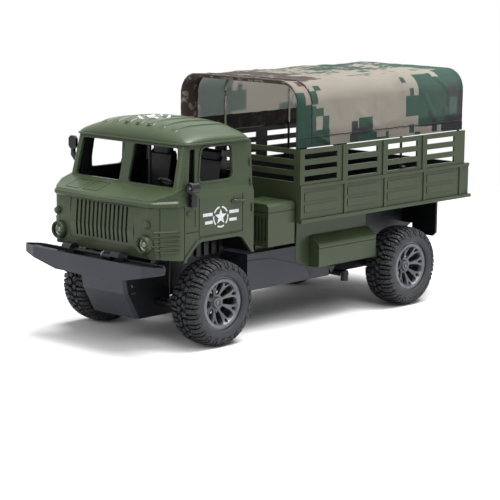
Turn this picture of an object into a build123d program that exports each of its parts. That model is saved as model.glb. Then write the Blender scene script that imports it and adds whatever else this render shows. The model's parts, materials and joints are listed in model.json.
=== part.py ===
"""Toy four-wheel-drive cargo truck with a canvas canopy, about 1:16.

+X is the truck's front, +Y its left side, +Z up. The origin is on the ground,
under the middle of the truck's bounding box. All sizes are in millimetres.
"""
from build123d import *
import os
from math import asin, cos, degrees, radians, sqrt, tan

os.makedirs("parts", exist_ok=True)

# ---- whole truck ----
wheelbase = 208.0
front_overhang = 68.0       # front axle to the bumper's face
rear_overhang = 78.0        # rear axle to the rear lip of the bed
track = 114.6               # between the middles of the left and right tyres
front_axle_x = (wheelbase + rear_overhang - front_overhang) / 2
rear_axle_x = front_axle_x - wheelbase
tail_x = rear_axle_x - rear_overhang
nose_x = front_axle_x + front_overhang

# ---- wheels ----
tyre_radius = 30.6          # to the tips of the lugs
tyre_width = 24.8
lug_height = 2.4
lug_count = 20              # on each of the two rows; the carcass has one flat under each
lug_width = 5.6
bead_radius = 19.0
rim_wall = 1.4
rim_setback = 1.8           # rim's outer lip, in from the tyre's side wall
dish_radius = 15.2          # where the flat lip ends and the spokes start
dish_depth = 4.0
dish_sides = 16
cavity_sides = 12           # of the hidden back
hub_radius = 5.0
cap_radius = 3.6
spoke_thickness = 2.0       # at the hub
window_count = 8
stub_radius = 2.4           # stub axle in the wheel
running_clearance = 0.05    # radial, of every turning pin and shaft
seat_clearance = 0.05       # between pieces pushed into one another
axle_z = tyre_radius

# ---- chassis ----
keel_half_width = 23.5
keel_bottom_z = 18.6
keel_top_z = 58.0
skirt_half_width = 50.0
skirt_bottom_z = 31.0
skirt_front_x = front_axle_x - 43.0
skirt_rear_x = front_axle_x - 132.0
tub_rear_x = rear_axle_x - 22.0
hitch_radius = 1.6
hitch_thickness = 3.0
keel_chamfer = 2.0
link_pivot_x = front_axle_x - 162.0
link_pivot_y = 42.0

# ---- front bumper ----
bumper_half_width = 72.5
bumper_top_z = 63.8
bumper_bottom_z = 50.7
bumper_wall = 2.0
bumper_depth = 15.0
bumper_top_plate = 3.6      # the sunk top's underside, below the rim
bumper_rim = 1.0
bumper_tray_depth = 1.6
bumper_lift_y = 32.0        # the lower edge rises outwards from here
bumper_tip = 8.0            # the ends taper over this much of the width
hook_y = 25.2
hook_width = 9.0
hook_height = 5.6           # above the bumper's rim

# ---- cab ----
cab_half_width = 59.4
cab_wall = 2.2
cab_front_x = front_axle_x + 53.0
cab_rear_x = front_axle_x - 39.4
cab_bottom_z = 62.0
belt_z = 105.5              # top of the nose and foot of the sloping cowl
cowl_top_z = 112.6
cab_top_z = 142.0
screen_foot_x = front_axle_x + 31.8
screen_top_x = front_axle_x + 24.6
upper_half_width = 57.6
top_half_width = 56.0
nose_bow = 1.5              # bulge of the nose between its foot and its lip
bulge_chords = 2
nose_corner = 17.0          # length of the rounded corner along the side
nose_corner_radius = 16.0
lip_height = 5.0            # of the thick lip round the top of the nose
lip_proud = 1.5
lip_end_x = front_axle_x + 29.0
arch_top_z = 75.0
arch_lip_width = 2.4
arch_lip_proud = 0.7
line_width = 0.6            # engraved panel lines
line_depth = 0.5
door_front_x = front_axle_x + 15.0
door_rear_x = front_axle_x - 28.0
door_bottom_z = 78.5

# ---- cab details ----
nose_flat = 50.0            # half width of the nose between its corners
nose_point = 1.4            # how far the middle of the nose stands before them
nose_foot_rise = 4.0
shoulder_z = belt_z + 5.0   # where the leaning upper wall starts
screen_lean = (screen_foot_x - screen_top_x) / (cab_top_z - cowl_top_z)
pillar_radius = 4.0
corner_line_y = 53.0
side_seam_z = 82.5
handle_z = 100.5
side_lines = [(door_rear_x, door_bottom_z, belt_z), (door_front_x, door_bottom_z, belt_z),
              (lip_end_x, cab_bottom_z + 3, belt_z - lip_height), (door_front_x + 4.0, 86.0, 98.0)]
louvre_count = 5
louvre_pitch = 3.1
louvre_bottom_z = 69.5
louvre_front_x = cab_front_x - 3.0
louvre_rear_x = lip_end_x + 4.0
window_foot_z = 116.5
window_top_z = cab_top_z - 2.2
window_corner = 3.5
door_window = [(front_axle_x - 19.5, window_foot_z), (front_axle_x - 19.5, window_top_z),
               (front_axle_x + 10.0, window_top_z), (front_axle_x + 13.5, window_foot_z)]
window_lip_width = 1.3
window_lip_proud = 0.5
lamp_sides = 16
headlamp_y = 44.4
headlamp_z = 75.8
headlamp_radius = 6.2
lens_radius = 4.6
lens_step = 0.8             # the lens rises in rings
headlamp_depth = 3.5
lens_seat_x = cab_front_x + 2 - headlamp_depth
grille_half_width = 33.0
grille_bottom_z = 72.0
grille_top_z = belt_z - lip_height
grille_thickness = 1.2
slot_count = 13
slot_pitch = 4.3
slot_width = 1.9
slot_height = 25.0
roof_lip = 1.2
roof_crown_z = 156.0
roof_wall = 1.6
roof_front_x = front_axle_x + 25.6
roof_rear_x = front_axle_x - 39.0
rib_count = 7
rib_pitch = 13.0
rib_width = 6.0
rib_height = 0.5

# ---- bed ----
bed_front_x = front_axle_x - 83.0
bed_floor_z = 80.0          # top of the floor
bed_floor_thickness = 2.5
bed_underside_z = bed_floor_z - bed_floor_thickness
bed_ledge_half_width = 65.8
board_half_width = 64.8     # outer face of the boards
board_thickness = 2.4
board_top_z = 105.0
rack_top_z = 131.5
bed_rear_x = tail_x + 2.0
rack_rear_x = tail_x + 7.5
rack_outer_y = 63.8
rack_thickness = 1.6
rack_inner_y = rack_outer_y - rack_thickness
rack_slots = [(107.4, 111.6), (115.8, 119.6), (123.8, 127.8)]
post_lead = 5.8             # plain board before a post's rib, and behind it
post_lag = 0.8
post_ribs = [(front_axle_x - 129.5, front_axle_x - 135.0), (front_axle_x - 176.0, front_axle_x - 181.5),
             (front_axle_x - 224.0, front_axle_x - 229.5)]
rack_end_board = 13.5       # plain board behind the last bay
panel_rows = [(85.0, 90.5), (93.5, 99.5)]
tailgate_thickness = 2.6
hinge_z = bed_floor_z + 2.4
hinge_x = tail_x + 4.6
pin_radius = 1.2

# ---- canopy ----
canopy_half_width = 61.4
canopy_bottom_z = 131.8
canopy_top_z = 181.0
canopy_corner_radius = 17.0
canopy_wall = 1.2
bow_radius = 1.0

# ---- inside the cab, lamp and mirror ----
tub_clearance = 0.2
tub_half_width = upper_half_width - cab_wall - tub_clearance - 1.2
tub_floor_z = arch_top_z + 1.5
tub_thickness = 1.8
tub_front_x = front_axle_x + 44.0
hump_top_z = 94.0
hump_half_width = 10.0
seat_y = 25.5
seat_width = 22.0
seat_top_z = 128.0
wheel_rim_radius = 9.0
lamp_x = front_axle_x + 22.0
lamp_y = cab_half_width + 4.6
lamp_z = 114.2
lamp_radius = 3.8
lamp_length = 6.5
mirror_x = front_axle_x + 23.4
mirror_y = cab_half_width + 2.1
mirror_z = 134.8
mirror_thickness = 2.2

# ---- boxes along the sides ----
box_half_width = 60.0
louvre_box_front_x = front_axle_x - 53.9
louvre_box_rear_x = front_axle_x - 82.0
louvre_box_bottom_z = 63.0
louvre_box_top_z = 94.0
louvre_lid_z = 87.5
tank_front_x = front_axle_x - 109.4
tank_rear_x = front_axle_x - 175.0
tank_bottom_z = 41.0
tank_top_z = 64.0
tank_seam_z = 55.0

# ---- joints ----
kingpin_y = 38.0
kingpin_radius = 1.5
steer_angle = 20.0
steer_arm = 21.0            # kingpin forwards to the pin of the tie rod
arm_pin_radius = 1.0
tie_rod_width = 4.4
tie_rod_thickness = 2.4
tie_rod_z = axle_z - 1.2
tie_rod_eye = 5.2           # length of each eye along the rod


# ================= wheels: one tyre and one rim, placed at each corner =================
half_tyre = tyre_width / 2
carcass_radius = tyre_radius - lug_height
shoulder_radius = carcass_radius - 4.6
tread_half = half_tyre - 1.8
lug_top = sqrt(tyre_radius ** 2 - (lug_width / 2) ** 2)
lug_half_angle = degrees(asin(lug_width / 2 / tyre_radius))
rim_radius = bead_radius - seat_clearance
rim_lip_y = half_tyre - rim_setback
dish_y = rim_lip_y - dish_depth
spoke_back_y = dish_y - spoke_thickness
stub_end_y = dish_y - spoke_thickness / 2
wheel_face = Plane.XZ.rotated((180, 0, 0))      # local z outwards, along +Y


def flat_sided(section, sides):
    """Turned form with flat sides about the wheel's axle, from its half section (outwards, up)."""
    reach = 2 * tyre_radius
    spread = reach * tan(radians(180 / sides))
    with BuildPart() as sector:
        with BuildSketch(Plane.YZ):
            with BuildLine():
                Polyline(*section, close=True)
            make_face()
        extrude(amount=spread, both=True)
        with BuildSketch(Plane.XZ):
            Polygon((0, 0), (spread, reach), (-spread, reach), align=None)
        extrude(amount=tyre_width, both=True, mode=Mode.INTERSECT)
    sectors = [Rot(0, 360 * k / sides, 0) * sector.part for k in range(sides)]
    return sectors[0].fuse(*sectors[1:]).clean()


with BuildPart() as lug:        # at the top of the wheel, its foot inside the carcass
    with BuildSketch(Plane.YZ):
        with BuildLine():
            Polyline((1, carcass_radius - 1), (1, lug_top), (tread_half - 0.4, lug_top),
                     (half_tyre, shoulder_radius + 2.8), (half_tyre - 2, shoulder_radius + 1.6), close=True)
        make_face()
    extrude(amount=lug_width / 2, both=True)
lug_pitch = 360 / lug_count
outer_lugs = [Rot(0, lug_pitch * k, 0) * lug.part for k in range(lug_count)]
inner_lugs = [Rot(0, lug_pitch * (k + 0.5), 0) * mirror(lug.part, about=Plane.XZ) for k in range(lug_count)]
carcass = flat_sided([(-half_tyre, bead_radius), (-half_tyre, shoulder_radius), (-tread_half, carcass_radius),
                      (tread_half, carcass_radius), (half_tyre, shoulder_radius), (half_tyre, bead_radius)],
                     lug_count)
tyre_shape = Rot(0, lug_half_angle, 0) * (carcass + outer_lugs + inner_lugs)

rim_blank = flat_sided([(-rim_lip_y, 0), (-rim_lip_y, rim_radius), (rim_lip_y, rim_radius), (rim_lip_y, 0)],
                       lug_count)
rim_cavity = flat_sided([(-rim_lip_y - 1, 0), (-rim_lip_y - 1, rim_radius - rim_wall),
                         (spoke_back_y, rim_radius - rim_wall), (spoke_back_y, 0)], cavity_sides)
rim_dish = flat_sided([(dish_y, 0), (dish_y, hub_radius), (rim_lip_y - 0.5, dish_radius),
                       (rim_lip_y + 1, dish_radius), (rim_lip_y + 1, 0)], dish_sides)
with BuildPart() as rim_shape:
    add(rim_blank)
    add(rim_cavity, mode=Mode.SUBTRACT)
    add(rim_dish, mode=Mode.SUBTRACT)
    # windows between the spokes
    with BuildSketch(wheel_face.offset(spoke_back_y - 1)):
        with PolarLocations(0, window_count, start_angle=90):
            Polygon((hub_radius + 0.6, -1.5), (dish_radius - 0.8, -2.2), (dish_radius - 0.8, 2.2),
                    (hub_radius + 0.6, 1.5), align=None)
    extrude(amount=rim_lip_y - spoke_back_y + 2, mode=Mode.SUBTRACT)
    # hub: a tube on the stub axle behind the spokes, and a cap before them
    with BuildSketch(wheel_face.offset(-rim_lip_y)):
        RegularPolygon(radius=hub_radius - 0.4, side_count=window_count)
    extrude(amount=rim_lip_y + spoke_back_y)
    with BuildSketch(wheel_face.offset(dish_y)):
        RegularPolygon(radius=cap_radius, side_count=window_count)
    extrude(amount=1.6)
    with BuildSketch(wheel_face.offset(-rim_lip_y)):
        Circle(stub_radius + running_clearance)
    extrude(amount=rim_lip_y + stub_end_y, mode=Mode.SUBTRACT)
rim_turned = Rot(0, lug_half_angle, 0) * rim_shape.part

wheel_corners = [("front_left", front_axle_x, 1), ("front_right", front_axle_x, -1),
                 ("rear_left", rear_axle_x, 1), ("rear_right", rear_axle_x, -1)]
for corner, wheel_x, side in wheel_corners:
    turned = (0, 0, 0 if side > 0 else 180)
    with BuildPart() as tyre:
        with Locations((wheel_x, side * track / 2, axle_z)):
            add(tyre_shape, rotation=turned)
    tyre.part.label = f"tyre_{corner}"
    export_step(tyre.part, f"parts/tyre_{corner}.step")
    with BuildPart() as rim:
        with Locations((wheel_x, side * track / 2, axle_z)):
            add(rim_turned, rotation=turned)
    rim.part.label = f"rim_{corner}"
    export_step(rim.part, f"parts/rim_{corner}.step")

# ================= chassis =================
with BuildPart() as chassis:
    with BuildSketch(Plane.XZ):
        with BuildLine():
            Polyline((nose_x - bumper_depth, bumper_bottom_z), (front_axle_x + 50.6, 37.4),
                     (front_axle_x + 40.0, keel_bottom_z), (front_axle_x - 26, keel_bottom_z),
                     (skirt_front_x, skirt_bottom_z - 6), (tub_rear_x - 6, skirt_bottom_z - 6),
                     (tub_rear_x - 26, keel_top_z - 8), (tail_x + 12, keel_top_z + 2),
                     (tail_x + 12, bed_underside_z), (skirt_front_x, bed_underside_z),
                     (skirt_front_x + 4, keel_top_z), (nose_x - bumper_depth, keel_top_z), close=True)
        make_face()
    extrude(amount=keel_half_width, both=True)
    # the front edges of the keel are broken
    side_edges = chassis.edges().filter_by(lambda e: abs(abs(e.center().Y) - keel_half_width) < 0.01)
    front_edges = side_edges.filter_by(lambda e: e.center().X > front_axle_x + 41)
    chamfer(front_edges.filter_by(lambda e: e.center().Z < keel_top_z - 1), length=keel_chamfer)
    with BuildSketch(Plane.XZ):
        with BuildLine():
            Polyline((skirt_front_x, keel_top_z), (skirt_front_x, skirt_bottom_z + 4),
                     (skirt_front_x - 4, skirt_bottom_z), (skirt_rear_x, skirt_bottom_z),
                     (skirt_rear_x, keel_top_z), close=True)
        make_face()
    extrude(amount=skirt_half_width, both=True)
    # pivot bosses of the rear axle's links
    with BuildSketch(Plane.XZ):
        with Locations((link_pivot_x, skirt_bottom_z - 4)):
            RegularPolygon(radius=2.6, side_count=8)
    extrude(amount=link_pivot_y, both=True)
    # brackets under the bumper's top
    with BuildSketch(Plane.XY.offset(keel_top_z - 4)):
        for side in (-1, 1):
            with Locations((nose_x - bumper_depth, side * 16)):
                Rectangle(16, 8)
    extrude(amount=bumper_top_z - bumper_top_plate - keel_top_z + 4)
    # hitch for a trailer's pin, under the tail of the bed
    with BuildSketch(Plane.XY.offset(keel_top_z + 2)):
        with Locations((tail_x + 9, 0)):
            Rectangle(13, 12)
        with Locations((tail_x + 6.5, 0)):
            Circle(hitch_radius, mode=Mode.SUBTRACT)
    extrude(amount=hitch_thickness)
    # channel for the tie rod
    with Locations((front_axle_x + steer_arm, 0, tie_rod_z)):
        Box(tie_rod_width + 0.8, 2 * keel_half_width + 2, tie_rod_thickness + 0.6, mode=Mode.SUBTRACT)
chassis.part.label = "chassis"
export_step(chassis.part, "parts/chassis.step")

# ================= front bumper: an open-backed tray with pointed ends =================
bumper_rear_x = nose_x - bumper_depth
with BuildPart() as front_bumper:
    with BuildSketch(Plane.XY.offset(bumper_bottom_z)) as bumper_plan:
        with BuildLine():
            Polyline((bumper_rear_x, bumper_half_width - bumper_tip), (nose_x - 8.6, bumper_half_width),
                     (nose_x - 7.4, bumper_half_width), (nose_x - 3.5, bumper_half_width - 4.6),
                     (nose_x - 0.8, bumper_half_width - 2 * bumper_tip), (nose_x, 0),
                     (nose_x - 0.8, 2 * bumper_tip - bumper_half_width),
                     (nose_x - 3.5, 4.6 - bumper_half_width),
                     (nose_x - 7.4, -bumper_half_width), (nose_x - 8.6, -bumper_half_width),
                     (bumper_rear_x, bumper_tip - bumper_half_width), close=True)
        make_face()
    extrude(amount=bumper_top_z - bumper_bottom_z)
    # the top is sunk inside a thin rim
    with BuildSketch(Plane.XY.offset(bumper_top_z)):
        offset(bumper_plan.sketch, amount=-bumper_rim, kind=Kind.INTERSECTION)
    extrude(amount=-bumper_tray_depth, mode=Mode.SUBTRACT)
    # the underside is hollow behind the face
    with BuildSketch(Plane.XY.offset(bumper_bottom_z)):
        with Locations((nose_x - bumper_depth / 2 - bumper_wall - 1.5, 0)):
            Rectangle(bumper_depth - 1, 2 * (bumper_half_width - bumper_tip) - 2)
    extrude(amount=bumper_top_z - bumper_bottom_z - bumper_top_plate, mode=Mode.SUBTRACT)
    # the lower edge rises towards the ends
    with BuildSketch(Plane.YZ.offset(bumper_rear_x - 1)):
        for side in (-1, 1):
            with BuildLine():
                Polyline((side * bumper_lift_y, bumper_bottom_z - 1), (side * bumper_lift_y, bumper_bottom_z),
                         (side * 55, bumper_bottom_z + 4.8), (side * 68, bumper_bottom_z + 7.6),
                         (side * 68, bumper_bottom_z + 10.6), (side * 75, bumper_bottom_z + 10.6),
                         (side * 75, bumper_bottom_z - 1), close=True)
            make_face()
    extrude(amount=bumper_depth + 2, mode=Mode.SUBTRACT)
front_bumper.part.label = "front_bumper"
export_step(front_bumper.part, "parts/front_bumper.step")

tray_z = bumper_top_z - bumper_tray_depth
hook_top_z = bumper_top_z + hook_height
with BuildPart() as tow_hooks:
    for side in (-1, 1):
        with BuildSketch(Plane.XZ.offset(-side * hook_y)):
            Polygon((nose_x - 13, tray_z), (nose_x - 13, hook_top_z - 2), (nose_x - 11, hook_top_z),
                    (nose_x - 6.5, hook_top_z), (nose_x - 4.5, hook_top_z - 1.5),
                    (nose_x - 4.5, bumper_top_z + 2.2), (nose_x - 8, bumper_top_z + 2.2),
                    (nose_x - 8, tray_z), align=None)
        extrude(amount=hook_width / 2, both=True)
tow_hooks.part.label = "tow_hooks"
export_step(tow_hooks.part, "parts/tow_hooks.step")


# ================= cab =================
def chords(start, through, end, count):
    """Points along the arc through three points, both ends included."""
    arc = ThreePointArc(start, through, end)
    points = [arc.position_at(k / count) for k in range(count + 1)]
    return [(point.X, point.Y) for point in points]


def eased(corners, radius):
    """Corner points of a polygon, each corner eased by two chords."""
    points = []
    for before, corner, after in zip(corners[-1:] + corners[:-1], corners, corners[1:] + corners[:1]):
        tip = Vector(*corner)
        start = tip + (Vector(*before) - tip).normalized() * radius
        end = tip + (Vector(*after) - tip).normalized() * radius
        for t in (0, 0.5, 1):
            point = start * (1 - t) ** 2 + tip * 2 * t * (1 - t) + end * t ** 2
            points.append((point.X, point.Y))
    return points


def cab_outline(z, inset, rounded=True):
    """Cab in plan: straight sides, big front corners and a shallow point at the middle of the nose."""
    half = cab_half_width - inset
    front = cab_front_x - inset
    rear = cab_rear_x + max(inset, 0)
    with BuildSketch(Plane.XY.offset(z)) as outline:
        with BuildLine():
            Polyline((rear, -half), (front - nose_corner, -half), (front - nose_point, -nose_flat),
                     (front, 0), (front - nose_point, nose_flat), (front - nose_corner, half),
                     (rear, half), close=True)
        make_face()
        if rounded:
            fillet(outline.vertices().filter_by(lambda v: abs(abs(v.Y) - nose_flat) < 0.01), radius=6)
            fillet(outline.vertices().filter_by(lambda v: abs(v.X - front + nose_corner) < 0.01),
                   radius=nose_corner_radius)
    return outline.sketch


def nose_bulge(front, low, count):
    """Bulge of the nose in the side view, from its foot up to its lip."""
    high = belt_z - lip_height
    return chords((front - nose_bow, low), (front, (low + high) / 2), (front - nose_bow, high), count)


def cab_form(inset, low_z, high_z, rounded):
    """Outer or inner form of the cab: nose, sloping cowl and the upper cab, which leans inwards."""
    over = high_z - cab_top_z
    front = cab_front_x - inset
    drop = 0.8 * inset
    bulge = nose_bulge(front, low_z + nose_foot_rise, bulge_chords if rounded else 1)
    with BuildPart() as form:
        add(cab_outline(low_z, inset, rounded))
        extrude(amount=high_z - low_z)
        # the side view: the nose bulges between its foot and its lip
        with BuildSketch(Plane.XZ):
            Polygon(*bulge, (front, belt_z - drop), (screen_foot_x - inset, cowl_top_z - drop),
                    (screen_top_x - inset - over * screen_lean, high_z), (cab_rear_x + inset, high_z),
                    (cab_rear_x + inset, low_z), (front - 25, low_z + nose_foot_rise / 3), align=None)
        extrude(amount=cab_half_width + 1, both=True, mode=Mode.INTERSECT)
        # the front view
        with BuildSketch(Plane.YZ.offset(cab_rear_x)):
            with BuildLine():
                Polyline((-cab_half_width + inset, low_z), (-cab_half_width + inset, belt_z - drop),
                         (-upper_half_width + inset, shoulder_z - drop), (-top_half_width + inset, high_z),
                         (top_half_width - inset, high_z), (upper_half_width - inset, shoulder_z - drop),
                         (cab_half_width - inset, belt_z - drop), (cab_half_width - inset, low_z), close=True)
            make_face()
        extrude(amount=cab_front_x - cab_rear_x + 1, mode=Mode.INTERSECT)
        if rounded:
            upper_edges = form.edges().filter_by(lambda e: e.center().Z > cowl_top_z + 5 and e.length > 20)
            front_pillars = upper_edges.filter_by(lambda e: e.center().X > screen_top_x - 3)
            fillet(front_pillars.filter_by(lambda e: abs(e.center().Y) > 50), radius=pillar_radius)
    return form.part


def nose_face(front, thickness, half, low_z, high_z):
    """Slab that follows the nose's bulge, its outer face at the given x."""
    low = cab_bottom_z + nose_foot_rise
    outer = nose_bulge(front, low, bulge_chords)
    inner = nose_bulge(front - thickness, low, bulge_chords)
    with BuildPart() as slab:
        with BuildSketch(Plane.XZ):
            Polygon(*outer, *reversed(inner), align=None)
        extrude(amount=half, both=True)
        with BuildSketch(Plane.YZ.offset(front - 12)):
            with Locations((0, (low_z + high_z) / 2)):
                Rectangle(2 * half, high_z - low_z)
        extrude(amount=20, mode=Mode.INTERSECT)
    return slab.part


cab_outer = cab_form(0, cab_bottom_z, cab_top_z, True)
cab_inner = cab_form(cab_wall, cab_bottom_z - 1, cab_top_z + 1, False)
grille_slab = nose_face(cab_front_x + 1, grille_thickness + 1.4, grille_half_width + seat_clearance,
                        grille_bottom_z - seat_clearance, grille_top_z + seat_clearance)
corner_zone = Box(cab_front_x - lip_end_x + 6, 2 * cab_half_width + 8, 2 * belt_z)
corner_zone = Pos((cab_front_x + lip_end_x + 6) / 2, 0, belt_z) * corner_zone

with BuildPart() as nose_lip:
    add(cab_outline(belt_z - lip_height, -lip_proud))
    extrude(amount=lip_height)
    level_edges = nose_lip.edges().group_by(Axis.Z)[0] + nose_lip.edges().group_by(Axis.Z)[-1]
    chamfer(level_edges.filter_by(lambda e: e.center().X > cab_rear_x + 5), length=lip_proud - 0.1)
    add(corner_zone, mode=Mode.INTERSECT)

# engraved lines that run up the rounded corners
with BuildPart() as corner_lines:
    add(cab_outline(cab_bottom_z, -1))
    extrude(amount=belt_z - lip_height - cab_bottom_z)
    add(extrude(cab_outline(cab_bottom_z, line_depth), amount=belt_z, mode=Mode.PRIVATE), mode=Mode.SUBTRACT)
    with BuildSketch(Plane.YZ.offset(cab_rear_x)):
        for side in (-1, 1):
            with Locations((side * corner_line_y, belt_z / 2)):
                Rectangle(line_width, 2 * belt_z)
    extrude(amount=cab_front_x - cab_rear_x + 2, mode=Mode.INTERSECT)

# louvres pressed into the rounded corners
with BuildPart() as corner_louvres:
    for k in range(louvre_count):
        add(cab_outline(louvre_bottom_z + k * louvre_pitch, -line_depth))
    extrude(amount=louvre_pitch / 2)
    with BuildSketch(Plane.XY.offset(louvre_bottom_z - 1)):
        for side in (-1, 1):
            with Locations(((louvre_front_x + louvre_rear_x) / 2, side * cab_half_width)):
                Rectangle(louvre_front_x - louvre_rear_x, 24)
    extrude(amount=louvre_count * louvre_pitch + 2, mode=Mode.INTERSECT)

arch_profile = Polygon((front_axle_x + 28, cab_bottom_z - 3), (front_axle_x + 27, cab_bottom_z + 2),
                       (front_axle_x + 17, arch_top_z - 1.6), (front_axle_x + 13, arch_top_z),
                       (front_axle_x - 23, arch_top_z), (front_axle_x - 27.5, arch_top_z - 1.6),
                       (front_axle_x - 37, cab_bottom_z), (front_axle_x - 38, cab_bottom_z - 3), align=None)
arch_edge = offset(arch_profile, amount=arch_lip_width, kind=Kind.INTERSECTION)
body_side = Pos((front_axle_x - 5), cab_bottom_z + 20) * Rectangle(80, 40)
arch_reach = cab_half_width + arch_lip_proud
arch_lips = extrude(Plane.XZ * ((arch_edge - arch_profile) & body_side), amount=arch_reach, both=True)
arch_lips -= Pos(front_axle_x, 0, belt_z) * Box(2 * wheelbase, 2 * (cab_half_width - cab_wall), 2 * belt_z)

cowl_fall = belt_z - cowl_top_z
cowl_run = cab_front_x - screen_foot_x
cowl_plane = Plane(origin=((cab_front_x + screen_foot_x) / 2, 0, (belt_z + cowl_top_z) / 2),
                   x_dir=(cowl_run, 0, cowl_fall), z_dir=(-cowl_fall, 0, cowl_run))
left_wall = Plane(origin=(0, upper_half_width, shoulder_z), x_dir=(-1, 0, 0),
                  z_dir=(0, cab_top_z - shoulder_z, upper_half_width - top_half_width))
window_edge = Polygon(*eased([(-x, z - shoulder_z) for x, z in door_window], window_corner), align=None)
lip_edge = offset(window_edge, amount=window_lip_width, kind=Kind.INTERSECTION)
left_lip = extrude(left_wall * (lip_edge - window_edge), amount=window_lip_proud)
window_lips = [left_lip, mirror(left_lip, about=Plane.XZ)]

with BuildPart() as cab_body:
    add(cab_outer)
    add(nose_lip.part)
    add(corner_louvres.part)
    add(arch_lips)
    # handle of each door
    with Locations(((door_rear_x + door_rear_x + 12) / 2, 0, handle_z)):
        Box(11, 2 * cab_half_width + 2, 1.4)
    add(cab_inner, mode=Mode.SUBTRACT)
    # panel lines
    add(corner_lines.part, mode=Mode.SUBTRACT)
    for side in (-1, 1):
        with BuildSketch(Plane.XZ.offset(-side * (cab_half_width - line_depth))):
            for line_x, low, high in side_lines:
                with Locations((line_x, (low + high) / 2)):
                    Rectangle(line_width, high - low)
            with Locations(((door_front_x + door_rear_x) / 2, door_bottom_z)):
                Rectangle(door_front_x - door_rear_x, 2 * line_width)
            with Locations(((door_front_x + lip_end_x) / 2, side_seam_z)):
                Rectangle(lip_end_x - door_front_x, line_width)
        extrude(amount=-side * 4, mode=Mode.SUBTRACT)
    # vents pressed into the cowl
    with BuildSketch(cowl_plane):
        for vent_y in (-35, -16):
            with Locations((0, vent_y)):
                Rectangle(14, 15)
                Rectangle(14 - 2 * line_width, 15 - 2 * line_width, mode=Mode.SUBTRACT)
    extrude(amount=-line_depth, mode=Mode.SUBTRACT)
    # windscreen: two openings with a pillar between them
    with BuildSketch(Plane.YZ.offset(front_axle_x)):
        for side in (-1, 1):
            Polygon(*eased([(side * 4.5, cowl_top_z + 0.6), (side * 4.5, window_top_z),
                            (side * 49.5, window_top_z), (side * 50.8, cowl_top_z + 0.6)], 2), align=None)
    extrude(amount=45, mode=Mode.SUBTRACT)
    # door windows and the narrow quarter windows before them
    with BuildSketch(Plane.XZ):
        Polygon(*eased(door_window, window_corner), align=None)
        with BuildLine():
            Polyline((front_axle_x + 17.6, window_foot_z), (front_axle_x + 16.2, window_top_z - 0.5),
                     (front_axle_x + 21.2, window_top_z - 0.5), (front_axle_x + 23.4, window_foot_z),
                     close=True)
        make_face()
    extrude(amount=cab_half_width + 5, both=True, mode=Mode.SUBTRACT)
    # two small windows in the rear wall
    with BuildSketch(Plane.YZ.offset(cab_rear_x - 1)):
        for side in (-1, 1):
            with Locations((side * 32, 127)):
                Rectangle(36, 17)
    extrude(amount=cab_wall + 2, mode=Mode.SUBTRACT)
    # wheel arches
    add(extrude(Plane.XZ * arch_profile, amount=cab_half_width + 5, both=True), mode=Mode.SUBTRACT)
    # opening for the grille, with a rebate that the grille panel sits in
    with BuildSketch(Plane.YZ.offset(cab_front_x - 6)):
        with Locations((0, (grille_bottom_z + grille_top_z) / 2)):
            Rectangle(2 * grille_half_width - 4, grille_top_z - grille_bottom_z - 4)
    extrude(amount=10, mode=Mode.SUBTRACT)
    add(grille_slab, mode=Mode.SUBTRACT)
    # headlamp housings
    for side in (-1, 1):
        with BuildSketch(Plane.YZ.offset(cab_front_x - 4)):
            with Locations((side * headlamp_y, headlamp_z)):
                RegularPolygon(radius=headlamp_radius, side_count=lamp_sides)
        extrude(amount=6)
        with BuildSketch(Plane.YZ.offset(cab_front_x + 2)):
            with Locations((side * headlamp_y, headlamp_z)):
                RegularPolygon(radius=lens_radius, side_count=lamp_sides)
        extrude(amount=-headlamp_depth, mode=Mode.SUBTRACT)
        # turn signal above each headlamp, and a marker on the side
        with BuildSketch(Plane.YZ.offset(cab_front_x - 3)):
            with Locations((side * (headlamp_y + 2), headlamp_z + 13.7)):
                RegularPolygon(radius=2.4, side_count=8)
        extrude(amount=4)
        with BuildSketch(Plane.XZ.offset(-side * (cab_half_width - 1))):
            with Locations((front_axle_x + 25.5, 96)):
                RegularPolygon(radius=1.6, side_count=8)
        extrude(amount=-side * 1.8)
    # lips round the door windows, on the leaning walls
    for lip in window_lips:
        add(lip)
cab_body.part.label = "cab_body"
export_step(cab_body.part, "parts/cab_body.step")

with BuildPart() as grille:
    add(nose_face(cab_front_x - 0.4, grille_thickness, grille_half_width, grille_bottom_z, grille_top_z))
    with BuildSketch(Plane.YZ.offset(cab_front_x - 10)):
        with Locations((0, (grille_bottom_z + grille_top_z) / 2 + 1)):
            with GridLocations(slot_pitch, 1, slot_count, 1):
                Rectangle(slot_width, slot_height)
    extrude(amount=14, mode=Mode.SUBTRACT)
grille.part.label = "grille"
export_step(grille.part, "parts/grille.step")

with BuildPart() as headlamp_lenses:
    for side in (-1, 1):
        for level, lens_size in enumerate((lens_radius - 0.2, lens_radius - 1.6, 1.6)):
            with BuildSketch(Plane.YZ.offset(lens_seat_x + level * lens_step)):
                with Locations((side * headlamp_y, headlamp_z)):
                    RegularPolygon(radius=lens_size, side_count=lamp_sides)
            extrude(amount=lens_step)
headlamp_lenses.part.label = "headlamp_lenses"
export_step(headlamp_lenses.part, "parts/headlamp_lenses.step")


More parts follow.
